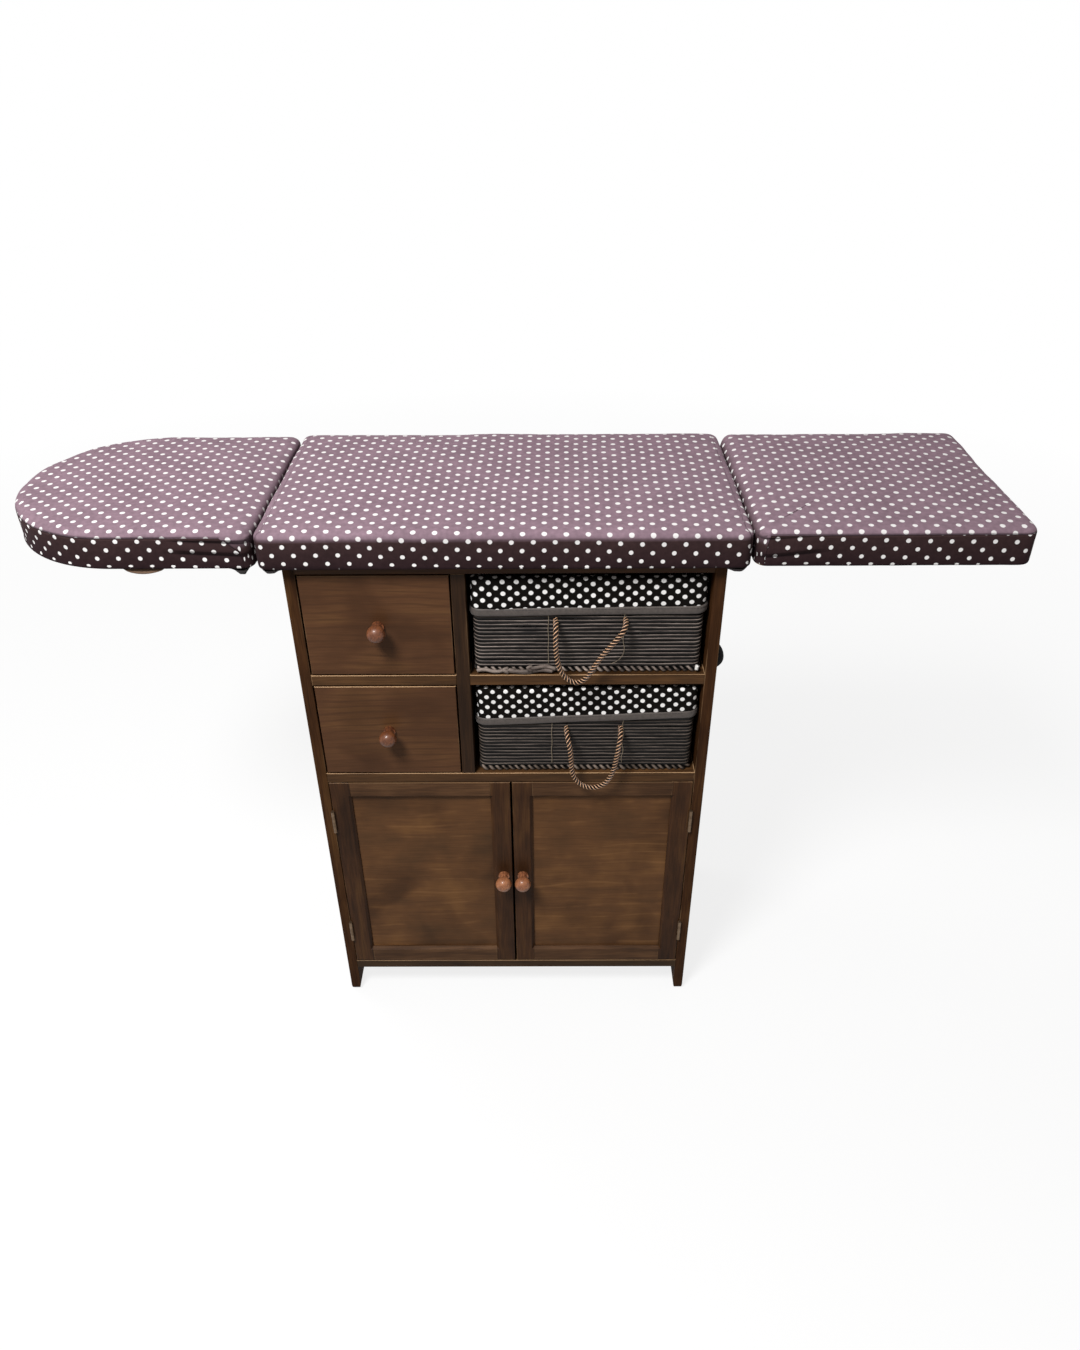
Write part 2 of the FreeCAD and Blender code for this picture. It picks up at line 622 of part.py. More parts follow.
def slab(inset, far, deep, low, high, round_end):
    """A flat board with the outline of a pad."""
    wire = plan(inset, far, deep, low, round_end)
    return Part.Face(wire).extrude(Z * (high - low))


def shaped(name, shape, at):
    piece = doc.addObject("Part::Feature", name)
    piece.Shape = shape
    return place(piece, at)


def make_pad(name, far, deep, round_end, at):
    """The board, foam and cotton cover of one pad."""
    skin, ply = read("cover_thick"), read("ply_thick")
    inside = skin + read("slip")
    foam = padded(inside, far, deep, round_end)
    foam = foam.common(slab(0, far, deep, ply, read("pad_high"), round_end))
    cover = padded(0, far, deep, round_end).cut(padded(skin, far, deep, round_end))
    window = slab(read("hem_wide"), far, deep, -skin - read("overrun"), ply, round_end)
    keep(shaped(name + "_board", slab(inside, far, deep, 0, ply, round_end), at))
    keep(shaped(name + "_foam", foam, at))
    keep(shaped(name + "_cover", cover.cut(window), at))


make_pad("centre", read("top_wide"), read("top_deep"), False,
         ("-top_wide / 2", "pad_middle_y", "pad_z"))
make_pad("leaf_left", -read("leaf_long"), read("leaf_deep"), True,
         ("-leaf_x", "pad_middle_y", "pad_z"))
make_pad("leaf_right", read("leaf_long"), read("leaf_deep"), False,
         ("leaf_x", "pad_middle_y", "pad_z"))

# Hinges between the pads, screwed on from below
fixed = []
for hand_name, hand in HANDS:
    moving = []
    for end_name, flap_y in (("front", "pad_middle_y - leaf_deep / 2 + flap_from_end"),
                             ("back", "pad_middle_y + leaf_deep / 2 - flap_from_end")):
        axis = (signed(hand, "flap_x"), flap_y, "flap_z")
        start = "flap_barrel / 2 + slip"
        for plates, part_name, way, ends in ((fixed, "fixed", -hand, True),
                                             (moving, "moving", hand, False)):
            plates.append(hinge_plate("flap_%s_%s_%s" % (part_name, hand_name, end_name), FLAP_SIZES,
                                      "flap_barrel / 2 - flap_thick", start, ends, axis,
                                      turned(Z, X * way)))
        pins.append(rod("flap_pin_%s_%s" % (hand_name, end_name),
                        (axis[0], flap_y + " + flap_long / 2", axis[2]), "flap_pin", "flap_long",
                        turned(X, Z)))
    keep(group("leaf_%s_hinge_plates" % hand_name, moving))
keep(group("leaf_hinge_fixed_plates", fixed))
keep(group("hinge_pins", pins))

# Prop stays: a flat steel bar swings out from each side and bears on a rest plate
brackets = []
buffers = []
for hand_name, hand in HANDS:
    name = "stay_" + hand_name
    across = turned(X, Z)
    low_y = "pad_middle_y - stay_wide / 2"
    bar = box(name + "_bar", ("0", "-stay_wide / 2", "-stay_thick / 2"),
              ("stay_long", "stay_wide", "stay_thick"), "0")
    ends = []
    for end_name, end_x, end_across in (("eye", "0", "stay_eye"), ("tip", "stay_long", "stay_thick"),
                                        ("bore", "0", "stay_pin + 2 * pin_play")):
        ends.append(rod(name + "_" + end_name, (end_x, "stay_wide / 2", "0"), end_across,
                        "stay_wide", across, "0"))
    stay = cut(name, join(name + "_solid", [bar] + ends[:2]), ends[2])
    place(stay, (signed(hand, "stay_x"), "pad_middle_y", "stay_z"), FreeCAD.Rotation(Y * -1, RIGHT_ANGLE))
    stay.setExpression("Placement.Rotation.Angle",
                       bound("stay_tilt" if hand > 0 else "2 * %d - stay_tilt" % RIGHT_ANGLE))
    keep(stay)
    wide = "stay_wide + 2 * slip + 2 * bracket_thick"
    base = box(name + "_bracket_base",
               (mirrored(hand, "body_wide / 2", "bracket_thick"), "pad_middle_y - (" + wide + ") / 2",
                "stay_z - bracket_high / 2"), ("bracket_thick", wide, "bracket_high"))
    pieces = [base]
    for end_name, ear_y in (("front", "pad_middle_y - (" + wide + ") / 2"),
                            ("back", "pad_middle_y + stay_wide / 2 + slip")):
        pieces.append(box(name + "_ear_" + end_name,
                          (mirrored(hand, "body_wide / 2", "ear_long"), ear_y, "stay_z - ear_high / 2"),
                          ("ear_long", "bracket_thick", "ear_high")))
    pieces.append(rod(name + "_pin", (signed(hand, "stay_x"), "pad_middle_y + (" + wide + ") / 2", "stay_z"),
                      "stay_pin", wide, across))
    brackets.append(join(name + "_bracket", pieces))
    rest_x = "stay_tip_x + stay_thick / 2 + lip_gap + lip_thick"
    plate = box("leaf_%s_rest_plate" % hand_name,
                (mirrored(hand, rest_x + " - rest_long", "rest_long"), "pad_middle_y - rest_wide / 2",
                 "pad_z - rest_thick"), ("rest_long", "rest_wide", "rest_thick"))
    lip = box("leaf_%s_rest_lip" % hand_name,
              (mirrored(hand, rest_x + " - lip_thick", "lip_thick"), "pad_middle_y - rest_wide / 2",
               "pad_z - rest_thick - lip_high"), ("lip_thick", "rest_wide", "lip_high"))
    keep(join("leaf_%s_stay_rest" % hand_name, [plate, lip]))
    halves = []
    for half_name, size, up in (("over", "buffer_over", 1), ("under", "buffer_under", -1)):
        half = doc.addObject("Part::Ellipsoid", "buffer_%s_%s" % (hand_name, half_name))
        half.setExpression("Radius1", bound("buffer_proud"))
        half.setExpression("Radius2", bound("buffer_across / 2"))
        half.setExpression("Radius3", bound(size))
        half.Angle1 = 0
        half.Angle3 = 2 * RIGHT_ANGLE
        halves.append(place(half, (signed(hand, "body_wide / 2"), "buffer_back", "buffer_up"),
                            turned(Y * up * hand, Z * up)))
    buffers.append(join("buffer_" + hand_name, halves))
keep(group("stay_brackets", brackets))
keep(group("leaf_buffers", buffers))


# Baskets: paper rope woven on a wire frame, with a cotton liner and a rope handle
def tube(points, across):
    """A rope along straight runs joined by arcs, with its radii and its length."""
    points = [Vector(*point) for point in points]
    radii = []
    edges = []
    start = points[0]
    length = 0
    for before, point, after in zip(points, points[1:], points[2:]):
        back, ahead = (before - point), (after - point)
        turn = math.pi - back.getAngle(ahead)
        reach = ARC_SHARE * min(back.Length, ahead.Length)
        radius = reach / math.tan(turn / 2)
        enter = point + back.normalize() * reach
        leave = point + ahead.normalize() * reach
        inward = (back + ahead).normalize()
        middle = point + inward * (radius / math.cos(turn / 2) - radius)
        edges.append(Part.LineSegment(start, enter).toShape())
        edges.append(Part.Arc(enter, middle, leave).toShape())
        length += (enter - start).Length + radius * turn
        radii.append(radius)
        start = leave
    edges.append(Part.LineSegment(start, points[-1]).toShape())
    length += (points[-1] - start).Length
    path = Part.Wire(edges)
    way = points[1] - points[0]
    ring = Part.Wire(Part.makeCircle(across / 2, points[0], way))
    solid = path.makePipeShell([ring], True, False)
    return solid, radii, length


ARC_SHARE = 0.45  # of the shorter run, from a point of the route to where its arc begins

# Points of the two handles: x and z from the basket's left foot, y from its woven front.
HANDLES = {
    "upper": [(108.2, 0, 82.0), (108.2, -12, 82.0), (108.0, -22.0, 73.5), (107.7, -25.5, 58.5),
              (109.0, -25.5, 40.5), (112.5, -25.5, 23.0), (120.0, -25.5, 9.0), (131.5, -25.5, 0.6),
              (143.8, -25.5, 3.2), (152.5, -25.5, 15.5), (161.0, -25.5, 32.0), (171.5, -25.5, 48.5),
              (184.0, -25.0, 64.0), (194.5, -20.5, 76.5), (197.8, -11.5, 82.0), (197.8, 0, 82.0)],
    "lower": [(123.0, 0, 77.0), (123.0, -12, 77.0), (125.8, -22.0, 68.5), (128.6, -25.5, 53.0),
              (129.5, -25.5, 35.5), (131.0, -25.5, 18.0), (136.5, -25.5, 3.0), (147.0, -25.5, -7.5),
              (160.5, -25.5, -10.8), (174.0, -25.5, -6.5), (183.5, -25.5, 5.5), (188.8, -25.5, 22.0),
              (191.5, -25.5, 39.5), (193.5, -25.5, 55.5), (196.0, -21.5, 70.0), (197.5, -12, 77.0),
              (197.5, 0, 77.0)],
}


def ring_wire(wide, deep, radius, wire, height):
    """A closed ring of wire with rounded corners, round the middle of the basket."""
    half_x, half_y = wide / 2, deep / 2
    turns = [(half_x - radius, half_y - radius, 0), (radius - half_x, half_y - radius, 90),
             (radius - half_x, radius - half_y, 180), (half_x - radius, radius - half_y, 270)]
    edges = []
    arcs = []
    for x, y, start in turns:
        arcs.append([Vector(x, y, height) + Vector(math.cos(math.radians(start + step)),
                                                   math.sin(math.radians(start + step)), 0) * radius
                     for step in (0, 45, 90)])
    for arc, following in zip(arcs, arcs[1:] + arcs[:1]):
        edges.append(Part.Arc(*arc).toShape())
        edges.append(Part.LineSegment(arc[2], following[0]).toShape())
    path = Part.Wire(edges)
    ring = Part.Wire(Part.makeCircle(wire / 2, arcs[0][0], Y))
    return path.makePipeShell([ring], True, False)


def wire_frame():
    """Two rings and four uprights, just inside the woven wall; z from the basket's foot."""
    wall, wire, skin, slip = (read(word) for word in ("weave_thick", "wire_thick", "cover_thick", "slip"))
    inset = wall + slip + wire / 2
    wide, deep = read("basket_wide") - 2 * inset, read("basket_deep") - 2 * inset
    radius = read("basket_round") - wire / 2
    low = wall + slip + wire / 2
    high = read("basket_high") - skin - slip - read("wire_down")
    solid = ring_wire(wide, deep, radius, wire, low)
    solid = solid.fuse(ring_wire(wide, deep, radius, wire, high))
    for way_x in (-1, 1):
        for way_y in (-1, 1):
            foot = Vector(way_x * (wide / 2 - radius), way_y * deep / 2, low)
            solid = solid.fuse(Part.makeCylinder(wire / 2, high - low, foot))
    return solid.removeSplitter()


for level, floor_z in (("upper", "high_bay_z"), ("lower", "low_bay_z")):
    name = "basket_" + level
    foot_z = floor_z + " + slip"

    def shell(part_name, inset, low, high, radius):
        """A rounded block drawn in from the woven face, between two heights of the basket."""
        return rounded(name + "_" + part_name,
                       ("basket_x + " + inset, "basket_set_back + " + inset, foot_z + " + " + low),
                       ("basket_wide - 2 * (" + inset + ")", "basket_deep - 2 * (" + inset + ")",
                        high + " - (" + low + ")"), radius)

    hollow = "weave_thick + 2 * slip + wire_thick"
    bag = shell("bag", hollow, "weave_thick + slip", "weave_high + slip", "basket_round - slip")
    inside = shell("inside", hollow + " + cover_thick", "weave_thick + slip + cover_thick",
                   "basket_high + overrun", "basket_round - slip - cover_thick")
    keep(cut(name + "_weave", shell("weave_block", "0", "0", "weave_high", "basket_round"),
             shell("weave_inside", "weave_thick", "weave_thick", "weave_high + overrun",
                   "basket_round - weave_thick")))
    keep(shaped(name + "_frame", wire_frame(),
                ("basket_x + basket_wide / 2", "basket_set_back + basket_deep / 2", foot_z)))
    turn_over = shell("flap_block", "-slip - cover_thick", "basket_high - flap_drop", "basket_high",
                      "basket_round + slip + cover_thick")
    room = shell("flap_inside", "-slip", "basket_high - flap_drop - overrun",
                 "weave_high + slip", "basket_round + slip")
    flap = cut(name + "_flap", turn_over, room)
    keep(cut(name + "_liner", join(name + "_lining", [flap, bag]), inside))
    handle, radii, length = tube(HANDLES[level], read("rope_thick"))
    keep(shaped(name + "_handle", handle, ("basket_x", "basket_set_back", foot_z)))
    print(name, "handle: length %.1f, least radius %.1f" % (length, min(radii)))
    print("  radii", " ".join("%.1f" % radius for radius in radii))
    print("  volume share", round(handle.Volume / (length * math.pi * read("rope_thick") ** 2 / 4), 4))

doc.recompute()
failed = [item.Label for item in doc.Objects if {"Invalid", "Error"} & set(item.State)]
for node in NODES:
    if node.Shape.isNull() or not node.Shape.isValid():
        failed.append(node.Label + " has no sound shape")
if failed:
    raise SystemExit("failed: " + ", ".join(failed))

os.makedirs("parts", exist_ok=True)
for node in NODES:
    node.Shape.exportStep("parts/" + node.Label + ".step")
print(len(NODES), "nodes written")
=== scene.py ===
import functools
import math
import bpy
import numpy as np
from mathutils import Matrix, Vector


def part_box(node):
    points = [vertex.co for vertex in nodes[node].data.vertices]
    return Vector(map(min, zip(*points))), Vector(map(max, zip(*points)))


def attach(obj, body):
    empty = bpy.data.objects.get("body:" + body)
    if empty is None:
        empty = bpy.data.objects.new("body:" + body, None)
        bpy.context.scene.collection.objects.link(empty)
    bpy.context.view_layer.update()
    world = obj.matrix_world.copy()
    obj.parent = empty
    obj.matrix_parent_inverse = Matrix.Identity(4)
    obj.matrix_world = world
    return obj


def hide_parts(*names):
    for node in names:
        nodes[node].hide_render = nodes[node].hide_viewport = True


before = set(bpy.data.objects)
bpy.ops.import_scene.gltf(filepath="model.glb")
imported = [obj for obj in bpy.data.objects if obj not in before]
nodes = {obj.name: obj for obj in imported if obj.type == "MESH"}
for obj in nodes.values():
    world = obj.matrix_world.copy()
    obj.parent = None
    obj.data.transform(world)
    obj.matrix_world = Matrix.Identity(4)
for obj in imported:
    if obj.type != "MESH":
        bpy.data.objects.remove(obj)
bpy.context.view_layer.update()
scene = bpy.context.scene


# The room: a phone held 1.4 m up in front of the cabinet, a white floor that keeps the
# shadow, and a soft lamp high on the left, so that the ironing top is lit more than the doors.
def linked(name, data):
    """A new object with its data, in the scene."""
    made = bpy.data.objects.new(name, data)
    scene.collection.objects.link(made)
    return made


def piece_from(name, points, faces, material):
    """A smooth mesh object in place, with its material."""
    mesh = bpy.data.meshes.new(name)
    mesh.from_pydata([tuple(p) for p in points], [], [tuple(int(i) for i in f) for f in faces])
    mesh.validate()
    mesh.shade_smooth()
    mesh.materials.append(material)
    return linked(name, mesh)


def srgb(code):
    """A colour as a painter writes it, #RRGGBB, in linear light."""
    parts = [int(code[i:i + 2], 16) / 255 for i in (1, 3, 5)]
    return tuple(p / 12.92 if p <= 0.04045 else ((p + 0.055) / 1.055) ** 2.4 for p in parts) + (1.0,)


def add(tree, kind, *values, stops=(), **named):
    """Add a node of a kind, with its operation or data type after a space. Its sockets take values in order,
    or by name with _ for a space, and names in small letters are its settings. A node or an output is linked,
    "#RRGGBB" is a colour, and stops are those of a colour ramp."""
    kind, *modes = kind.split()
    made = tree.nodes.new(kind if "Node" in kind else "ShaderNode" + kind)
    for mode in modes:
        setattr(made, "data_type" if kind == "Mix" else "operation", mode)
    for word in [word for word in named if word.islower()]:
        setattr(made, word, named.pop(word))
    if stops:
        stops, ramp = list(stops), made.color_ramp.elements
        for position, _ in stops[1:-1]:
            ramp.new(position)
        for stop, (position, tone) in zip(ramp, stops):
            stop.position, stop.color = position, srgb(tone)
    pairs = list(zip([socket for socket in made.inputs if socket.enabled], values))
    pairs += [(made.inputs[word.replace("_", " ")], value) for word, value in named.items()]
    for socket, value in pairs:
        if isinstance(value, bpy.types.Node):
            value = next(output for output in value.outputs if output.enabled)
        if isinstance(value, bpy.types.NodeSocket):
            tree.links.new(value, socket)
        else:
            socket.default_value = srgb(value) if str(value).startswith("#") else value
    return made


def cleared(owner):
    """A material or a world without nodes, and a function that puts one in."""
    owner.use_nodes = True
    owner.node_tree.nodes.clear()
    return owner, functools.partial(add, owner.node_tree)


pitch, yaw, roll = 0.5942, -0.0071, -0.0079
ahead = Vector((math.sin(yaw) * math.cos(pitch), math.cos(yaw) * math.cos(pitch), -math.sin(pitch)))
level = Vector((math.cos(yaw), -math.sin(yaw), 0))
upright = level.cross(ahead)
across_view = level * math.cos(roll) + upright * math.sin(roll)
up_view = upright * math.cos(roll) - level * math.sin(roll)
camera = linked("camera", bpy.data.cameras.new("camera"))
camera.matrix_world = Matrix.Translation((0.0507, -1.24665, 1.3787)) @ Matrix(
    (across_view, up_view, -ahead)).transposed().to_4x4()
camera.data.sensor_width, camera.data.lens = 36, 26.82
scene.camera = camera
scene.view_settings.view_transform = "Standard"

white_floor, put = cleared(bpy.data.materials.new("white_floor"))
rays = put("LightPath").outputs
# the floor throws little light back up at the cabinet, so that what faces down stays dark
tint = put("Mix RGBA", rays["Is Diffuse Ray"], "#F4F4F4", "#909090")
seen = put("Math MAXIMUM", rays["Is Camera Ray"], rays["Is Glossy Ray"])
# the floor turns into the white background between 0.8 and 3 metres away
away = put("VectorMath LENGTH", put("TexCoord").outputs["Object"])
share = put("MapRange", away, From_Min=0.8, From_Max=3.0, To_Min=0.82, To_Max=1.0)
share = put("Math MULTIPLY", seen, share)
glow = put("Emission", Color=(1, 1, 1, 1), Strength=1.0)
put("OutputMaterial", put("MixShader", share, put("BsdfPrincipled", tint, Roughness=0.9), glow))
floor = piece_from("floor", [(-14, -8, -0.0005), (14, -8, -0.0005), (14, 20, -0.0005), (-14, 20, -0.0005)],
                   [(0, 1, 2, 3)], white_floor)

scene.world, put = cleared(bpy.data.worlds.new("room"))
rays = put("LightPath").outputs
seen = put("Math MAXIMUM", rays["Is Camera Ray"], rays["Is Glossy Ray"])
seen = put("Math MAXIMUM", seen, rays["Is Transmission Ray"])
dim = put("Background", Color="#F2F0EE", Strength=0.32)
white = put("Background", Color=(1, 1, 1, 1), Strength=1.0)
put("OutputWorld", put("MixShader", seen, dim, white))

for name, place, aim, size, power in (("window_lamp", (-0.73, -1.32, 2.61), (0, 0, 0.6), 0.7, 77),
                                      ("side_lamp", (-1.6, 0.8, 2.4), (0, 0, 0.8), 1.0, 16)):
    lamp = linked(name, bpy.data.lights.new(name, "AREA"))
    lamp.data.shape, lamp.data.size, lamp.data.energy = "DISK", size, power
    lamp.location = place
    lamp.rotation_mode = "QUATERNION"
    lamp.rotation_quaternion = (Vector(aim) - Vector(place)).to_track_quat("-Z", "Y")


# Basket handles: one length of three-strand twisted furnishing cord each, rayon over
# cotton, whose ends go in through the front wall under the lining. It hangs by its weight.
def run_along(points):
    """How far along a line of points each of them is."""
    return np.r_[0, np.cumsum(np.linalg.norm(np.diff(points, axis=0), axis=1))]


def spaced(points, step):
    """Points at even steps along a line of points."""
    points = np.asarray(points, float)
    run = run_along(points)
    at = np.linspace(0, run[-1], max(3, round(run[-1] / step)))
    return np.column_stack([np.interp(at, run, points[:, k]) for k in range(3)])


def skinned(rings, count, start=0, closed=False):
    """Faces between rings of the same count of points, which are numbered ring by ring."""
    faces = []
    for i in range(rings if closed else rings - 1):
        this, following = start + i * count, start + (i + 1) % rings * count
        for k in range(count):
            m = (k + 1) % count
            faces.append((this + k, this + m, following + m, following + k))
    return faces


def twisted(path, strands, across, lay, sides=8, closed=False, uneven=0.0):
    """Strands laid round a path, one turn to each lay: their points and faces."""
    path = np.asarray(path, float)
    ways = np.roll(path, -1, 0) - np.roll(path, 1, 0) if closed else np.gradient(path, axis=0)
    ways /= np.linalg.norm(ways, axis=1)[:, None]
    out = np.cross(ways[0], (0, 0, 1) if abs(ways[0][2]) < 0.9 else (0, 1, 0))
    frames = []
    for way in ways:
        out = out - way * out.dot(way)
        out /= np.linalg.norm(out)
        frames.append((out, np.cross(way, out)))
    first, second = (np.array(side) for side in zip(*frames))
    run = run_along(path)
    whole = run[-1] + (np.linalg.norm(path[0] - path[-1]) if closed else 0)
    turns = round(whole / lay) if closed else whole / lay
    strand_radius = across / 2 / (1 + 1 / math.sin(math.pi / strands)) if strands > 1 else across / 2
    ring_radius = across / 2 - strand_radius
    noise = np.random.default_rng(11)
    swells = max(4, int(whole / lay * 2))
    points, faces = [], []
    for strand in range(strands):
        phase = 2 * math.pi * (run / whole * turns + strand / strands)
        wobble = 1 + uneven * np.interp(run, np.linspace(0, whole, swells), noise.uniform(-1, 1, swells))
        centre = path + ring_radius * (first * np.cos(phase)[:, None] + second * np.sin(phase)[:, None])
        # the strands press into each other, so each is drawn 12 % wider
        radius = strand_radius * 1.12 * wobble
        start = len(points)
        for i in range(len(path)):
            for k in range(sides):
                a = 2 * math.pi * k / sides + phase[i] * 0.5
                points.append(centre[i] + radius[i] * (first[i] * math.cos(a) + second[i] * math.sin(a)))
        faces += skinned(len(path), sides, start, closed)
        if not closed:
            faces.append([start + k for k in reversed(range(sides))])
            faces.append([len(points) - sides + k for k in range(sides)])
    return points, faces


def note(piece, **values):
    """Write numbers or vectors on the points of a mesh, for its material to read."""
    for word, value in values.items():
        value = np.asarray(value, np.float32)
        vector = value.ndim == 2
        attribute = piece.data.attributes.new(word, "FLOAT_VECTOR" if vector else "FLOAT", "POINT")
        attribute.data.foreach_set("vector" if vector else "value", value.ravel())


def curve_through(name, points, kind="POLY", closed=False):
    """A curve object along a line of points."""
    data = bpy.data.curves.new(name, "CURVE")
    data.dimensions = "3D"
    spline = data.splines.new(kind)
    spline.points.add(len(points) - 1)
    for point, co in zip(spline.points, points):
        point.co = (*co, 1)
    spline.use_cyclic_u = closed
    return linked(name, data)


def mesh_of(source):
    """What an object comes to with its modifiers, as a plain mesh; the object is removed."""
    bpy.context.view_layer.update()
    mesh = bpy.data.meshes.new_from_object(source.evaluated_get(bpy.context.evaluated_depsgraph_get()))
    bpy.data.objects.remove(source)
    return mesh


# twisted rayon cord: painted shade, dark brown in the grooves between the strands, and a painted gold
# highlight on their crowns
handle_cord, put = cleared(bpy.data.materials.new("twisted_rayon_cord"))
# yarns lie 1.6 mm apart and fray a little into each other
yarn = put("TexNoise", put("TexCoord").outputs["Object"], Scale=620, Detail=3)
frayed = put("MapRange", yarn, To_Min=-0.03, To_Max=0.03)
height = put("Math ADD", put("Attribute", attribute_name="crown").outputs["Fac"], frayed)
tint = put("ValToRGB", height, stops=((0.85, "#120704"), (0.925, "#5A2C1A"), (0.98, "#E2B691")))
bump = put("Bump", Height=yarn, Strength=0.3, Distance=0.0005)
put("OutputMaterial", put("BsdfPrincipled", tint, Normal=bump, Roughness=0.42, Specular_IOR_Level=0.3,
                          Sheen_Weight=0.15, Sheen_Tint="#E8C08C"))

cord_across = 0.0065
basket_left, basket_front = -0.0445, -0.13875
basket_foot = {"upper": 0.6338, "lower": 0.4663}
# Points that the two handles hang along: x and z from the basket's left foot, y from its front.
handle_routes = {
    "upper": [(0.1082, 0, 0.082), (0.1082, -0.012, 0.082), (0.108, -0.022, 0.0735),
              (0.1077, -0.0255, 0.0585), (0.109, -0.0255, 0.0405), (0.1125, -0.0255, 0.023),
              (0.12, -0.0255, 0.009), (0.1315, -0.0255, 0.0006), (0.1438, -0.0255, 0.0032),
              (0.1525, -0.0255, 0.0155), (0.161, -0.0255, 0.032), (0.1715, -0.0255, 0.0485),
              (0.184, -0.025, 0.064), (0.1945, -0.0205, 0.0765), (0.1978, -0.0115, 0.082),
              (0.1978, 0, 0.082)],
    "lower": [(0.123, 0, 0.077), (0.123, -0.012, 0.077), (0.1258, -0.022, 0.0685),
              (0.1286, -0.0255, 0.053), (0.1295, -0.0255, 0.0355), (0.131, -0.0255, 0.018),
              (0.1365, -0.0255, 0.003), (0.147, -0.0255, -0.0075), (0.1605, -0.0255, -0.0108),
              (0.174, -0.0255, -0.0065), (0.1835, -0.0255, 0.0055), (0.1888, -0.0255, 0.022),
              (0.1915, -0.0255, 0.0395), (0.1935, -0.0255, 0.0555), (0.196, -0.0215, 0.07),
              (0.1975, -0.012, 0.077), (0.1975, 0, 0.077)],
}
for storey, length in (("upper", 0.226), ("lower", 0.236)):
    route = curve_through("route", [(basket_left + x, basket_front + y, basket_foot[storey] + z)
                                    for x, y, z in handle_routes[storey]], "NURBS")
    spline = route.data.splines[0]
    spline.order_u, spline.use_endpoint_u, spline.resolution_u = 3, True, 16
    path = spaced([v.co for v in mesh_of(route).vertices], 0.0008)
    strands, faces = twisted(path, 3, cord_across, lay=0.0155, sides=14)
    rope = piece_from("basket_%s_rope_handle" % storey, strands, faces, handle_cord)
    # how far each point lies from the cord's middle; the material turns this into painted shade in the
    # grooves and a painted highlight on the crowns
    out = np.square(np.reshape(strands, (3, len(path), 14, 3)) - path[None, :, None]).sum(axis=3).ravel()
    note(rope, crown=(out - out.min()) / (out.max() - out.min()))
    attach(rope, "basket_" + storey)
    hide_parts("basket_%s_handle" % storey)


# Cabinet body: planed boards, 15 and 16 mm thick, stained walnut and varnished satin. The
# grain runs along each board, and the stain has rubbed thin along the arrises.
def finish_node(node, material):
    """Give a carried-over piece its material."""
    mesh = nodes[node].data
    mesh.materials.clear()
    mesh.materials.append(material)


def seed_of(name):
    """A steady number of its own for each board, so that no two have the same grain."""
    return sum(ord(letter) * (index + 3) for index, letter in enumerate(name)) % 997 / 97


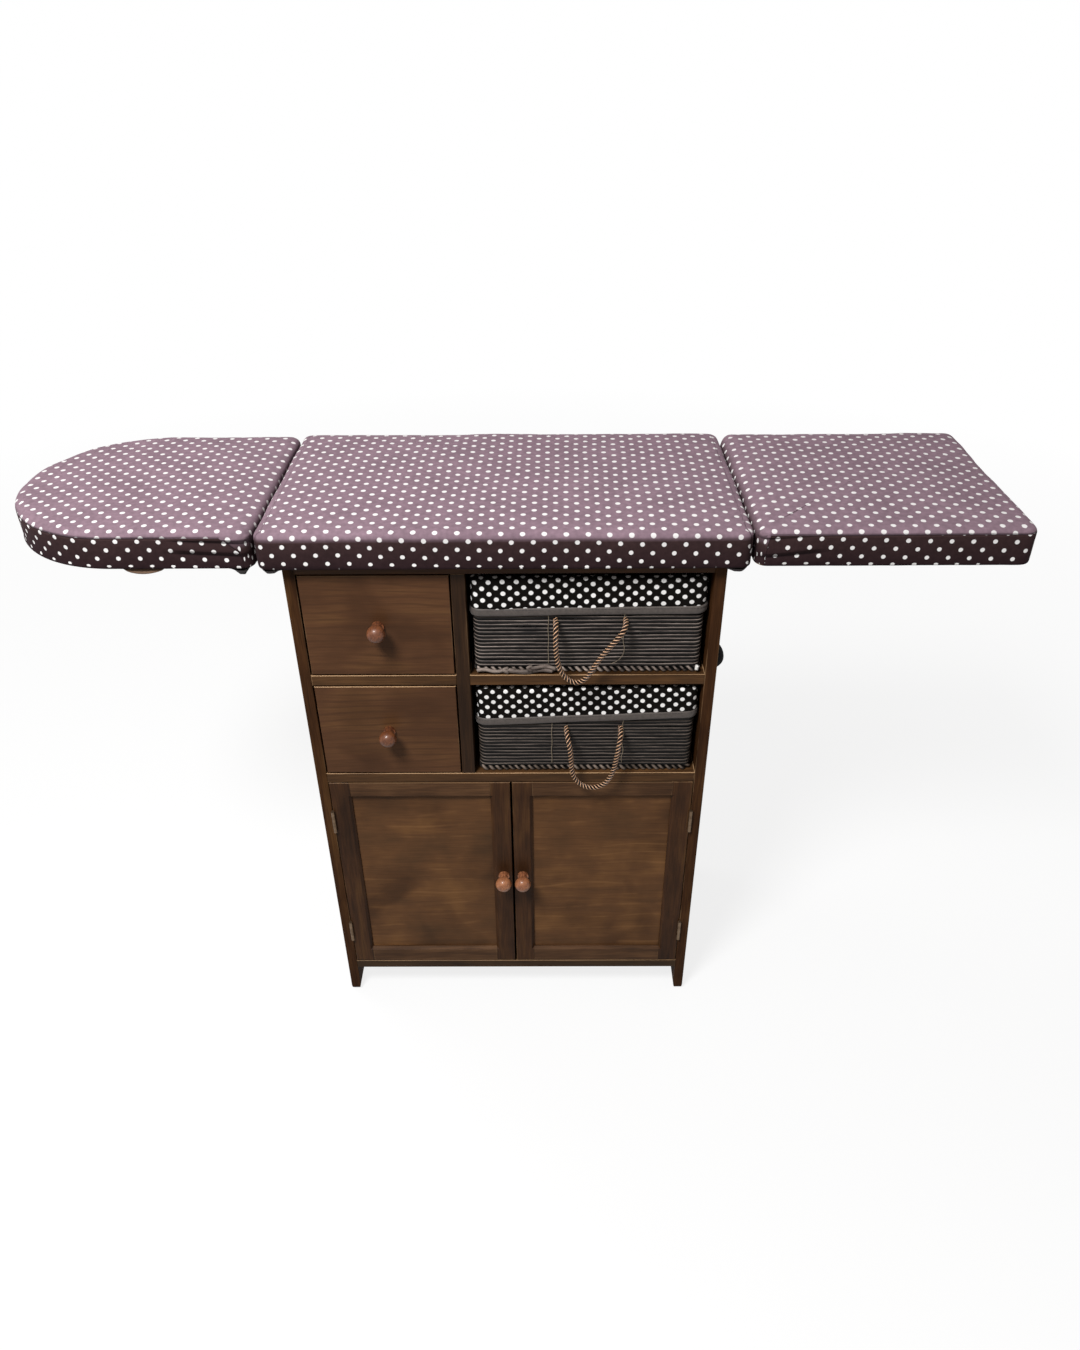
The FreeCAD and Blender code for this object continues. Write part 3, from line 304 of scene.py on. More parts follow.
def stained_wood(node, grain, tones, figure=1.0, worn=0.6, rough=0.5, blotch=0.5, growth=0.0,
                 pale=False, varnish=0.22):
    """Stain one board: rings along the grain, pores, clouds of stain, pale worn arrises, thin varnish."""
    material, put = cleared(bpy.data.materials.new("walnut_stain_" + node))
    low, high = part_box(node)
    shift = seed_of(node)

    def along_grain(share):
        """A scale that draws a pattern out along the board."""
        return tuple(share if axis == grain else 1 for axis in "xyz")

    place = put("TexCoord").outputs["Object"]
    along = put("Mapping", place, Location=(shift, shift * 0.7, shift * 0.3), Scale=along_grain(0.07))
    # growth rings are 4 to 12 mm apart on the face
    rings = put("TexNoise", along, Scale=95 * figure, Detail=6, Roughness=0.6, Distortion=0.9)
    flame = put("TexNoise", along, Scale=26 * figure, Detail=3, Distortion=2.2)
    # clouds of stain are about 80 mm across
    near = put("Mapping", place, Location=(shift, -shift, shift))
    cloud = put("TexNoise", near, Scale=13, Detail=3)
    both = put("Mix", 0.32 * blotch, put("Mix", 0.5, rings, flame), cloud)
    wood = put("ValToRGB", both, stops=zip((0.32, 0.5, 0.68), tones))
    # the stain went on cooler and darker in places
    smudge = put("TexNoise", near, Scale=8.5, Detail=2, Distortion=0.6)
    smudge = put("MapRange", smudge, From_Min=0.5, From_Max=0.66, To_Max=0.35 + 0.2 * blotch)
    wood = put("Mix RGBA", smudge, wood, "#B8B2AE", blend_type="MULTIPLY")
    # pores are 0.2 mm wide in walnut; drawn 1 mm wide, so that they show
    finer = put("Mapping", place, Location=(shift, 0, shift), Scale=along_grain(0.04))
    pore = put("MapRange", put("TexNoise", finer, Scale=640, Detail=2), From_Min=0.36, From_Max=0.6,
               To_Min=1 - 0.27 * min(1, figure), To_Max=1.05)
    wood = put("Mix RGBA", 1.0, wood, pore, blend_type="MULTIPLY")
    if growth:
        # late wood shows as thin wavy lines, dark on a flat-sawn board and pale on figured ply
        late, wide, drawn, least, most = ("#946A44", 0.1, 0.32, 0.0, 0.24) if pale else (
            tones[0], 0.3, 0.24, 0.25, 0.6)
        slow = put("Mapping", near, Rotation=(0, 0.04, 0), Scale=along_grain(drawn))
        wave = put("TexWave", slow, Scale=0.314 / growth, Distortion=11, Detail=2, Detail_Scale=0.6,
                   bands_direction="Z")
        line = put("MapRange", wave.outputs["Fac"], From_Min=wide, From_Max=0.0)
        patch = put("MapRange", cloud, From_Min=0.46, From_Max=0.6, To_Min=least, To_Max=most)
        wood = put("Mix RGBA", put("Math MULTIPLY", line, patch), wood, late)
    # the stain is rubbed thin where a top edge meets a side, and here and there up an edge
    middle, half = (low + high) / 2, (high - low) / 2
    from_middle = put("VectorMath SUBTRACT", place, middle)
    to_side = put("VectorMath SUBTRACT", half, put("VectorMath ABSOLUTE", from_middle))
    to_top = put("VectorMath SUBTRACT", half, from_middle)
    x_side, y_side, _ = put("SeparateXYZ", to_side).outputs
    nearest = put("Math MINIMUM", x_side, y_side)
    arris = put("Math MAXIMUM", nearest, put("SeparateXYZ", to_top).outputs["Z"])
    upright = put("Math MAXIMUM", x_side, y_side)
    # the worn strip is 0.6 to 1.6 mm wide
    chatter = put("MapRange", rings, From_Min=0.3, From_Max=0.7, To_Min=0.0006, To_Max=0.0016)
    patchy = put("MapRange", cloud, From_Min=0.47, From_Max=0.6, To_Max=worn * 0.6)
    rubbed = [put("MapRange", put("Math DIVIDE", edge, chatter), From_Min=1.0, From_Max=0.3,
                  To_Max=strength) for edge, strength in ((arris, worn), (upright, patchy))]
    wood = put("Mix RGBA", put("Math MAXIMUM", *rubbed), wood, "#AC8A66")
    sheen = put("MapRange", both, From_Min=0.3, From_Max=0.7, To_Min=rough + 0.08, To_Max=rough - 0.06)
    bump = put("Bump", Height=pore, Strength=0.16, Distance=0.0004)
    # a thin satin varnish, worn through in most places
    put("OutputMaterial", put("BsdfPrincipled", wood, Normal=bump, Roughness=sheen, Specular_IOR_Level=0.0,
                              Coat_Weight=varnish, Coat_Roughness=0.4))
    finish_node(node, material)


frame_tones = ("#24150A", "#422917", "#5B3E22")
board_tones = ("#352314", "#4F3620", "#65462A")
for node, grain, tones, wear in (
        ("side_left", "z", frame_tones, 0.5), ("side_right", "z", frame_tones, 0.5),
        ("divider", "z", ("#1C1109", "#332113", "#523B25"), 0.4), ("top_board", "x", frame_tones, 0.0),
        ("middle_shelf", "x", board_tones, 0.95), ("shelf_left", "x", board_tones, 0.95),
        ("shelf_right", "x", board_tones, 0.95),
        ("bottom_board", "x", ("#23170D", "#3B2917", "#4E3823"), 0.6)):
    stained_wood(node, grain, tones, worn=wear,
                 varnish=0.1 if "side" in node else 0.22)
stained_wood("back_panel", "x", ("#2A1E15", "#403022", "#564231"), worn=0.0, rough=0.62)

# Drawers: fronts of the same stained wood with the grain level, over boxes of plain
# softwood nailed together with a thin plywood bottom in a groove.
drawer_tones = ("#422B1B", "#553824", "#68482C")
plain_tones = ("#8C7250", "#AD9068", "#C6AB82")
for storey, wear in (("upper", 0.5), ("lower", 0.95)):
    name = "drawer_" + storey
    stained_wood(name + "_front", "x", drawer_tones, figure=0.42, worn=wear, blotch=1.0,
                 growth=0.011)
    for part, grain in (("_sides", "y"), ("_back", "x")):
        stained_wood(name + part, grain, plain_tones, worn=0.2, rough=0.62)
    stained_wood(name + "_bottom", "x", ("#6E563C", "#86694A", "#9C7F5C"), worn=0.0,
                 rough=0.62)

# Doors: stiles that run the full height, rails between them, and a thin plywood panel
# in a groove. The panel took the stain in warm clouds.
for hand in ("left", "right"):
    name = "door_" + hand
    for part, grain, tones in (("_hinge_stile", "z", frame_tones), ("_knob_stile", "z", frame_tones),
                               ("_rails", "x", ("#312013", "#523824", "#6E4F35"))):
        stained_wood(name + part, grain, tones, figure=1.15, worn=0.3, blotch=0.8)
    stained_wood(name + "_panel", "x", ("#48321F", "#5F4027", "#7A5532"), figure=0.45,
                 worn=0.0, blotch=1.8, growth=0.024, pale=True)


# Knobs: turned hardwood, red-brown under a glossy varnish, with the fine rings of the
# lathe round them. A dowel turned on the back of each is glued into its board.
def turned_wood(node, dark, light):
    """Finish one knob in glossy turned wood, with its rings round its axis."""
    material, put = cleared(bpy.data.materials.new("turned_" + node))
    low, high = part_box(node)
    centred = put("Mapping", put("TexCoord").outputs["Object"], Location=-(low + high) / 2)
    # the grain is 4 mm wide and runs along the axis
    grain = put("TexNoise", put("Mapping", centred, Scale=(1, 0.12, 1)), Scale=240, Detail=4, Distortion=1)
    tint = put("ValToRGB", grain, stops=((0.3, dark), (0.72, light)))
    # the lathe leaves fine rings 0.8 mm apart, and the grooves of the neck are 3.6 mm apart
    depth = put("SeparateXYZ", centred).outputs["Y"]
    lathe, groove = (put("Math SINE", put("Math MULTIPLY", depth, 2 * math.pi / apart))
                     for apart in (0.0008, 0.0036))
    bump = put("Bump", Height=lathe, Strength=0.06, Distance=0.0002)
    # stain gathers in the grooves, behind the head
    groove = put("MapRange", groove, From_Min=0.55, From_Max=0.9)
    behind = put("MapRange", depth, From_Min=-0.003, From_Max=0.0, To_Max=0.75)
    groove = put("Math MULTIPLY", groove, behind)
    tint = put("Mix RGBA", groove, tint, "#3B1D10")
    put("OutputMaterial", put("BsdfPrincipled", tint, Normal=bump, Roughness=0.4, Specular_IOR_Level=0.3,
                              Coat_Weight=0.2, Coat_Roughness=0.12))
    finish_node(node, material)


# the same wood on every knob; the door knobs are painted lighter, as painted light, to make up for the less
# lamp light that reaches them
for name, dark, light in (("drawer_upper", "#4A2817", "#7E4C30"), ("drawer_lower", "#452414", "#764629"),
                          ("door_left", "#6E4229", "#B27650"), ("door_right", "#683C26", "#A86E4A")):
    turned_wood(name + "_knob", dark, light)


# Door hinges: small butt hinges of brass-plated steel, pins and all, dulled by handling and
# let into the wood. The leaf hinges and prop stays are steel under black enamel.
def mottled(name, first, second, scale, rough, detail=4, grit=0.5, relief=0.0, deep=0.0005, dulled=False,
            **gloss):
    """A material clouded from one colour to another, with that many clouds to a metre."""
    material, put = cleared(bpy.data.materials.new(name))
    clouds = put("TexNoise", put("TexCoord").outputs["Object"], Scale=scale, Detail=detail, Roughness=grit)
    tint = put("Mix RGBA", clouds, first, second)
    if relief:
        gloss["Normal"] = put("Bump", Height=clouds, Strength=relief, Distance=deep)
    if dulled:
        rough = put("MapRange", clouds, From_Min=0.3, From_Max=0.7, To_Min=rough - 0.08, To_Max=rough + 0.12)
    put("OutputMaterial", put("BsdfPrincipled", tint, Roughness=rough, **gloss))
    return material


# tarnish in clouds of 6 mm on the brass, and the slight orange peel of the enamel
skin = dict(relief=0.1, deep=0.0003, dulled=True)
dull_brass = mottled("dull_brass_plate", "#8C7660", "#4A3A2C", 160, 0.5, Metallic=1.0, **skin)
black_enamel = mottled("black_enamelled_steel", "#17171A", "#0C0C0D", 160, 0.34, Specular_IOR_Level=0.1,
                       **skin)
for node in ("door_hinge_fixed_plates", "door_left_hinge_plates", "door_right_hinge_plates", "hinge_pins"):
    finish_node(node, dull_brass)
for node in ("leaf_hinge_fixed_plates", "leaf_left_hinge_plates", "leaf_right_hinge_plates", "stay_left",
             "stay_right", "stay_brackets", "leaf_left_stay_rest", "leaf_right_stay_rest"):
    finish_node(node, black_enamel)

# Small fittings: magnet catches in brown ABS housings behind the doors, and a black
# rubber buffer on each side board that the folded leaf rests against.
for node, slot, light, dark, rough in (
        ("magnet_catches", "brown_plastic", "#3A2A20", "#2A1D16", 0.45),
        ("leaf_buffers", "black_rubber", "#0E0D0D", "#080707", 0.7)):
    # the grain of the mould is 2 to 3 mm wide
    moulded = mottled("moulded_" + slot, light, dark, 420, rough, Specular_IOR_Level=0.1, **skin)
    finish_node(node, moulded)


# Ironing top: three plywood boards padded with foam under plum-brown cotton with white
# spots, turned in and stapled below. The covers of the leaves have a sewn-on side band.
def spots(put, cloth, wide, high, across, grow):
    """Where the printed spots are: staggered rows, from a place on the cloth in metres."""
    ink_edge = 0.0006
    from_spots = []
    for offset in ((0.5, 0.5, 0), (0, 0, 0)):
        cell = cloth
        for operation, *values in (("MULTIPLY", (1 / wide, 1 / high, 0)), ("ADD", offset), ("FRACTION",),
                                   ("SUBTRACT", (0.5, 0.5, 0)), ("MULTIPLY", (wide, high, 0)), ("LENGTH",)):
            cell = put("VectorMath " + operation, cell, *values)
        from_spots.append(cell)
    near = put("Math SUBTRACT", put("Math MINIMUM", *from_spots), grow)
    return put("MapRange", near, From_Min=across / 2 + ink_edge / 2, From_Max=across / 2 - ink_edge / 2)


def spotted_cotton(name, tones, wide, high, across, slant, sheen):
    """Printed plain-weave cotton, painted lighter where it faces up, with painted shade in its seams and
    folds.
    """
    material, put = cleared(bpy.data.materials.new(name))
    face, band, fold = (put("Attribute", attribute_name=word).outputs["Vector"]
                        for word in ("face_uv", "band_uv", "fold"))
    seam = put("Attribute", attribute_name="seam").outputs["Fac"]
    cloth = put("Mix VECTOR", put("Math GREATER_THAN", seam, 0.0), face, band)
    # the third number of the place says how much painted top light the cloth gets
    painted_top_light = put("SeparateXYZ", cloth).outputs["Z"]
    cloth = put("VectorMath MULTIPLY", cloth, (1, 1, 0))
    # the print wanders by up to 3 mm, as cloth does when it is stretched over a board
    drift = put("TexNoise", cloth, Scale=9, Detail=1).outputs["Color"]
    drift = put("VectorMath SUBTRACT", drift, (0.5, 0.5, 0.5))
    drift = put("VectorMath SCALE", drift, Scale=0.006)
    cloth = put("Mapping", put("VectorMath ADD", cloth, drift), Rotation=(0, 0, slant))
    # the white spots are drawn up to 0.7 mm wider where the painted top light is
    white = spots(put, cloth, wide, high, across, put("Math MULTIPLY", painted_top_light, 0.0007))
    # threads are 0.4 mm apart in such cotton; drawn 1.3 mm apart, so that they show
    threads = [put("TexWave", cloth, Scale=1 / 0.0013 / 3.2, Distortion=1.5, Detail=1,
                   bands_direction=way).outputs["Fac"] for way in "XY"]
    weave = put("Math MULTIPLY", *threads)
    # thick and thin yarn every 6 mm, and patches of 60 mm that are washed out more
    slub = put("TexNoise", cloth, Scale=160, Detail=5)
    slub = put("MapRange", slub, From_Min=0.3, From_Max=0.7, To_Min=0.84, To_Max=1.12)
    washed = put("TexNoise", cloth, Scale=16, Detail=2)
    washed = put("MapRange", washed, From_Min=0.3, From_Max=0.7, To_Min=0.9, To_Max=1.08)
    # painted light and sheen: the cloth is painted from dark plum on its sides to pale mauve where it faces
    # up
    tone = put("Mix RGBA", 1.0, put("ValToRGB", painted_top_light, stops=zip((0, 0.45, 1), tones)),
               put("Math MULTIPLY", slub, washed), blend_type="MULTIPLY")
    # the spots are painted greyer where they face up, against the stronger light there
    ink = put("Mix RGBA", painted_top_light, "#F2F0EE", "#D1CECD")
    tone = put("Mix RGBA", white, tone, ink)
    # painted shade: a seam is painted dark for 0.9 mm on each side, and the cloth rolls into it over 2.4 mm
    away = put("Math ABSOLUTE", seam)
    groove = put("MapRange", away, From_Min=0.0009, From_Max=0.0003, To_Max=0.72)
    roll_in = put("MapRange", away, From_Min=0.0, From_Max=0.0024, To_Min=-1.0, To_Max=0.0,
                  interpolation_type="SMOOTHSTEP")
    # pulled folds: each laps over the cloth below it, with a line of painted shade under the lap
    *lines, strength = put("SeparateXYZ", fold).outputs
    for line in lines:
        dark = put("MapRange", put("Math ABSOLUTE", line), From_Min=0.0019, From_Max=0.0003,
                   To_Max=0.8)
        dark = put("Math MULTIPLY", dark, strength)
        groove = put("Math MAXIMUM", groove, dark)
        lap = put("MapRange", line, From_Min=-0.0008, From_Max=0.005, To_Min=0.0, To_Max=1.6,
                  interpolation_type="SMOOTHSTEP")
        roll_in = put("Math ADD", roll_in, put("Math MULTIPLY", lap, strength))
    # the painted shade of the seams and folds, near black
    tone = put("Mix RGBA", groove, tone, "#120B0D")
    bump = put("Bump", Height=weave, Strength=0.12, Distance=0.0005)
    bump = put("Bump", Height=roll_in, Strength=0.8, Distance=0.0016, Normal=bump)
    put("OutputMaterial", put("BsdfPrincipled", tone, Normal=bump, Roughness=0.85, Specular_IOR_Level=0.06,
                              Sheen_Weight=sheen, Sheen_Roughness=0.45, Sheen_Tint="#C9A9B8"))
    return material


def ring_of(x_low, x_high, y_low, y_high, radii, step):
    """Points round an upright block with rounded corners, seen from above, and the ways out."""
    corners = []
    for x, y, start, radius in ((x_high, y_high, 0, radii[0]), (x_low, y_high, 90, radii[1]),
                                (x_low, y_low, 180, radii[2]), (x_high, y_low, 270, radii[3])):
        centre = np.array((x - math.copysign(radius, x - (x_low + x_high) / 2),
                           y - math.copysign(radius, y - (y_low + y_high) / 2)))
        count = max(4, round(radius * math.pi / 2 / step))
        angles = [math.radians(start + 90 * k / count) for k in range(count + 1)]
        out = [np.array((math.cos(a), math.sin(a))) for a in angles]
        corners.append(([centre + way * radius for way in out], out))
    points, ways = [], []
    for (arc, out), (following, _) in zip(corners, corners[1:] + corners[:1]):
        points += arc
        ways += out
        steps = round(np.linalg.norm(following[0] - points[-1]) / step)
        for k in range(1, steps):
            points.append(points[-1] + (following[0] - points[-1]) / (steps - k + 1))
            ways.append(out[-1])
    return np.array(points), np.array(ways)


def waver(points, scale, seed):
    """A smooth uneven number, mostly from -1 to 1, at each point."""
    noise = np.random.default_rng(seed)
    total = np.zeros(len(points))
    for octave in range(5):
        way = noise.normal(size=3)
        way /= np.linalg.norm(way)
        total += np.sin(points @ way * 2 * math.pi / scale * noise.uniform(0.6, 1.7)
                        + noise.uniform(0, 6.28)) / 3
    return total


def domed(rings, count):
    """Faces between rings, and a fan from the last of them to one more point."""
    last, top = (rings - 1) * count, rings * count
    return skinned(rings, count) + [(last + k, last + (k + 1) % count, top) for k in range(count)]


# the middle of the pads from front to back, their underside, and the flat of their top at
# its edge, over which they are crowned
pad_y, pad_under, pad_edge, pad_crown = 0.00625, 0.7998, 0.8475, 0.0035


def padded_cover(name, x_low, x_high, half, radii, hinge_side, hinge_round, seam_runs, seam_drop):
    """A cotton cover pulled over a foam pad, as rings from the hem below to the middle on top."""
    outline, ways = ring_of(x_low, x_high, pad_y - half, pad_y + half, radii, 0.0055)
    count = len(outline)
    middle = np.array(((x_low + x_high) / 2, pad_y))
    run = run_along(outline)
    to_hinge = ways[:, 0] * hinge_side
    # down the cloth: its side, where the painted top light fades out, where its seam is; and a number for no
    # seam near
    side_high, top_light_start, top_light_over, seam_down, no_seam = 0.042, 0.008, 0.026, 0.0102, -0.02
    rounding = 0.0075 + hinge_round * np.clip(to_hinge, 0, 1) ** 2
    start = outline - ways * rounding[:, None]
    quarter = rounding * math.pi / 2
    hem = quarter + pad_edge - rounding - pad_under
    # each ring: how far in, how high, and how far down the cloth from the flat of the top
    rings = [(inset, pad_under, hem + inset) for inset in (0.014, 0.010, 0.006, 0.003)]
    turn_under = 0.003
    for a in (60, 30, 0):
        bend = math.radians(a)
        rings.append((turn_under * (1 - math.cos(bend)), pad_under + turn_under * (1 - math.sin(bend)),
                      hem - 0.001))
    for share in np.linspace(0.1, 1, 9):
        z = pad_under + turn_under + (pad_edge - rounding - pad_under - turn_under) * share
        rings.append((0, z, quarter + pad_edge - rounding - z))
    for a in (18, 36, 54, 72, 90):
        bend = math.radians(a)
        rings.append((rounding * (1 - math.cos(bend)), pad_edge - rounding + rounding * math.sin(bend),
                      rounding * (math.pi / 2 - bend)))
    points, face, band, seam = [], [], [], []
    for ring in rings:
        inset, z, down = (np.zeros(count) + part for part in ring)
        flat = start + ways * down[:, None]
        low_share = np.clip((down - quarter) / side_high, 0, 1)
        if hinge_side:
            # the third number is the painted top light: full on the top, fading down past the edge, and
            # weaker on the side band
            here = np.column_stack([flat, 1 - 0.85 * np.clip((down - top_light_start) / top_light_over, 0, 1)])
            there = np.column_stack([run, -down, 0.4 * (1 - low_share)])
            # the seam of the side band drops across the corners by the hinges
            near = np.abs(outline[:, 0] - (x_low if hinge_side < 0 else x_high))
            line = down - seam_down - seam_drop * np.clip(1 - near / seam_runs, 0, 1) ** 1.1
            line = np.where(to_hinge > 0.35, no_seam, line)
        else:
            # the middle pad has its sides from the same piece; the painted top light is full as far as the
            # top edge and weaker down the sides
            turned, over = 0.8 * quarter, 0.004
            top_light_share = np.where(down < turned + over, 1 - 0.55 * np.clip((down - turned) / over, 0, 1),
                             0.45 * (1 - low_share))
            here = np.column_stack([outline[:, 0], start[:, 1] + np.sign(ways[:, 1]) * down, top_light_share])
            there = np.column_stack([start[:, 0] + np.sign(ways[:, 0]) * down, outline[:, 1], top_light_share])
            line = (np.abs(ways[:, 0]) - np.abs(ways[:, 1])) * 0.02
        points.append(np.column_stack([outline - ways * inset[:, None], z]))
        face.append(here)
        band.append(there)
        seam.append(line)
    inward = 26
    for k in range(1, inward):
        spot = start + (middle - start) * (k / inward) ** 1.25
        to_edge = np.minimum(half - np.abs(spot[:, 1] - pad_y),
                             np.minimum(spot[:, 0] - x_low, x_high - spot[:, 0]))
        points.append(np.column_stack([spot, pad_edge + pad_crown * np.clip(to_edge / 0.08, 0, 1) ** 0.5]))
        face.append(np.column_stack([spot, np.ones(count)]))
        band.append(face[-1])
        seam.append(np.full(count, no_seam))
    faces = domed(len(points), count)
    points.append([(*middle, pad_edge + pad_crown)])
    face.append([(*middle, 1)])
    band.append(face[-1])
    seam.append([no_seam])
    cover = piece_from(name, np.vstack(points), faces, plum_cotton)
    note(cover, face_uv=np.vstack(face), band_uv=np.vstack(band), seam=np.concatenate(seam))
    return cover


def subdivided(piece):
    """One round of subdivision on a piece, in the view and in the render."""
    finer = piece.modifiers.new("finer", "SUBSURF")
    finer.levels = finer.render_levels = 1


def pulled_tight(cover, seed, half, folds):
    """Puff the cover out over its foam with the cloth solver, held at its hem, and crease it."""
    # heights: the cloth is held below the first, and its folds lie between the next two
    held_below, folds_low, folds_high, most = 0.8045, 0.803, 0.842, 0.0022
    mesh = cover.data
    rest = np.array([v.co for v in mesh.vertices])
    # how far each point is above each fold line, and how strong the folds are there
    side = (np.abs(rest[:, 1] - pad_y) > half - 0.012) & (rest[:, 2] < folds_high) & (rest[:, 2] > folds_low)
    above, strong = [], np.zeros(len(rest))
    for (x1, z1), (x2, z2) in folds:
        run = np.array((x2 - x1, z2 - z1))
        long = np.linalg.norm(run)
        from_start = rest[:, [0, 2]] - (x1, z1)
        off = (from_start[:, 1] * run[0] - from_start[:, 0] * run[1]) / long
        above.append(off * math.copysign(1, run[0]))
        along = from_start @ run / long ** 2
        strong = np.maximum(strong, np.clip(np.minimum(along + 0.1, 1.12 - along) * 3.5, 0, 1) * side)
    held = cover.vertex_groups.new(name="held")
    held.add([i for i, p in enumerate(rest) if p[2] < held_below], 1.0, "REPLACE")
    cloth = cover.modifiers.new("cloth", "CLOTH")
    cloth.settings.vertex_group_mass = "held"
    cloth.settings.use_pressure = True
    cloth.settings.uniform_pressure_force = 4.0
    cloth.settings.effector_weights.gravity = 0
    cloth.settings.tension_stiffness = 25
    cloth.settings.bending_stiffness = 0.4
    for step in range(1, 13):
        scene.frame_set(step)
    settled = cover.evaluated_get(bpy.context.evaluated_depsgraph_get())
    moved = np.array([v.co for v in settled.data.vertices]) - rest
    cover.modifiers.clear()
    cover.vertex_groups.clear()
    scene.frame_set(1)
    size = np.linalg.norm(moved, axis=1)
    moved *= np.minimum(1, most / np.maximum(size, 1e-9))[:, None]
    rest = rest + moved
    slack = waver(rest, 0.11, seed) * 0.0007 + waver(rest, 0.035, seed + 1) * 0.00025
    normals = np.array([v.normal for v in mesh.vertices])
    lift = slack * (rest[:, 2] > held_below)
    if folds:
        for off in above:
            # the lap stands 1.1 mm out, and the cloth below it dips by 1.4 mm
            lift += strong * (0.0011 * np.exp(-((off - 0.005) / 0.004) ** 2)
                              - 0.0014 * np.exp(-(off / 0.003) ** 2))
        note(cover, fold=np.column_stack([*above, strong]))
    rest = rest + normals * lift[:, None]
    mesh.vertices.foreach_set("co", rest.astype(np.float32).ravel())
    mesh.update()
    subdivided(cover)


def shaded_hem(name, x_low, x_high, half, radii, body, droops, seed):
    """The hem of a cover, stapled under the board and painted black as painted shade; it droops in places."""
    outline, ways = ring_of(x_low, x_high, pad_y - half, pad_y + half, radii, 0.006)
    count = len(outline)
    hang = 0.0009 + 0.0005 * waver(np.column_stack([outline, np.zeros(count)]), 0.05, seed)
    for x, wide, deep in droops:
        hang += deep * np.exp(-((outline[:, 0] - x) / wide) ** 4) * (outline[:, 1] < 0)
    points = []
    for inset, z in ((0.0035, 0.7996), (0.006, 0.7990), (0.0095, 0.7987), (0.0125, 0.7990), (0.0135, 0.7996)):
        low = z - hang * math.sin(math.pi * ((inset - 0.002) / 0.012))
        points.append(np.column_stack([outline - ways * inset, low]))
    faces = [face[1:] + face[:1] for face in skinned(len(points), count)]
    hem = piece_from(name, np.vstack(points), faces, hem_shade_cloth)
    thick = hem.modifiers.new("thick", "SOLIDIFY")
    thick.thickness = 0.0008
    thick.offset = 1
    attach(hem, body)


# printed cotton, with spots of 5.2 to 6.6 mm in staggered rows 11 mm apart
# its tones run from the dark plum of the sides to the pale mauve of the painted top light
plum_cotton = spotted_cotton("plum_spotted_cotton", ("#271A1D", "#3A2A2A", "#7B6670"), wide=0.0262,
                             high=0.0224, across=0.0052, slant=0.021, sheen=0.03)
# the cover's hem under the board, painted near black as painted shade; matt, with a rib of 1.7 mm
hem_shade_cloth = mottled("hem_cloth_painted_dark", "#0E0B0C", "#241C1E", 600, 0.8, detail=3, relief=0.3)

# Each pad: its ends, half its depth and its corner radii; the side its hinges are on, the
# extra rounding there, and how far along and down the seam drops across the corners there;
# its body; two pulled folds at the front; and where the hem, painted black as shade, droops into view.
pads = {
    "centre": ((-0.302, 0.302, 0.1675, (0.014,) * 4), (0, 0, 1, 0), "cabinet", (),
               ((-0.289, 0.012, 0.0068), (0.289, 0.014, 0.0058))),
    "leaf_left": ((-0.643, -0.3055, 0.163, (0.014, 0.1625, 0.1625, 0.014)), (1, 0.002, 0.036, 0.033),
                  "leaf_left", (((-0.405, 0.8222), (-0.309, 0.8172)), ((-0.385, 0.8378), (-0.32, 0.8345))),
                  ((-0.322, 0.009, 0.0095),)),
    "leaf_right": ((0.3055, 0.643, 0.163, (0.014, 0.0155, 0.0155, 0.014)), (-1, 0.0078, 0.013, 0.048),
                   "leaf_right", (((0.307, 0.8118), (0.385, 0.8205)), ((0.315, 0.8375), (0.345, 0.8395))),
                   ()),
}
for index, (name, (plan, hinge, body, folds, droops)) in enumerate(pads.items()):
    cover = padded_cover(name + "_cotton_cover", *plan, *hinge)
    pulled_tight(cover, 20 + index, plan[2], folds)
    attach(cover, body)
    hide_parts(name + "_cover", name + "_foam")
    shaded_hem(name + "_hem_in_shade", *plan, body, droops, 40 + index)
    stained_wood(name + "_board", "x", ("#8A6B48", "#A88660", "#C2A27A"), worn=0.0, rough=0.66)

# A scrap of brown kraft paper, laid between the board and the cover's hem when the cover was
# stapled, has slipped down in front of the left leaf. Its fibres cloud over 4 mm.
kraft_paper = mottled("brown_kraft_paper", "#4E3A2C", "#7A5F4A", 260, 0.85, detail=5, grit=0.7, relief=0.3)
points, faces = [], []
for i, share in enumerate(np.linspace(0, 1, 13)):
    sag = 0.0088 * math.sin(math.pi * share) ** 0.6 * (1 - 0.25 * share)
    for k, (back, drop) in enumerate(((0.012, 0.0), (0.007, 0.35), (0.0045, 0.75), (0.004, 1.0))):
        here = len(points)
        points.append((-0.468 + 0.052 * share, -0.15675 + back, 0.7996 - drop * sag))
        if i and k:
            faces.append((here - 1, here, here - 4, here - 5))
scrap = piece_from("leaf_left_kraft_scrap", points, faces, kraft_paper)
thick = scrap.modifiers.new("thick", "SOLIDIFY")
thick.thickness = 0.0005
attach(scrap, "leaf_left")

# Baskets: rows of twisted paper rope woven on a wire frame, dark grey-brown and matt.
# A thicker two-strand edge is sewn round the foot, and its ends are knotted at the left.
paper_ropes = {}
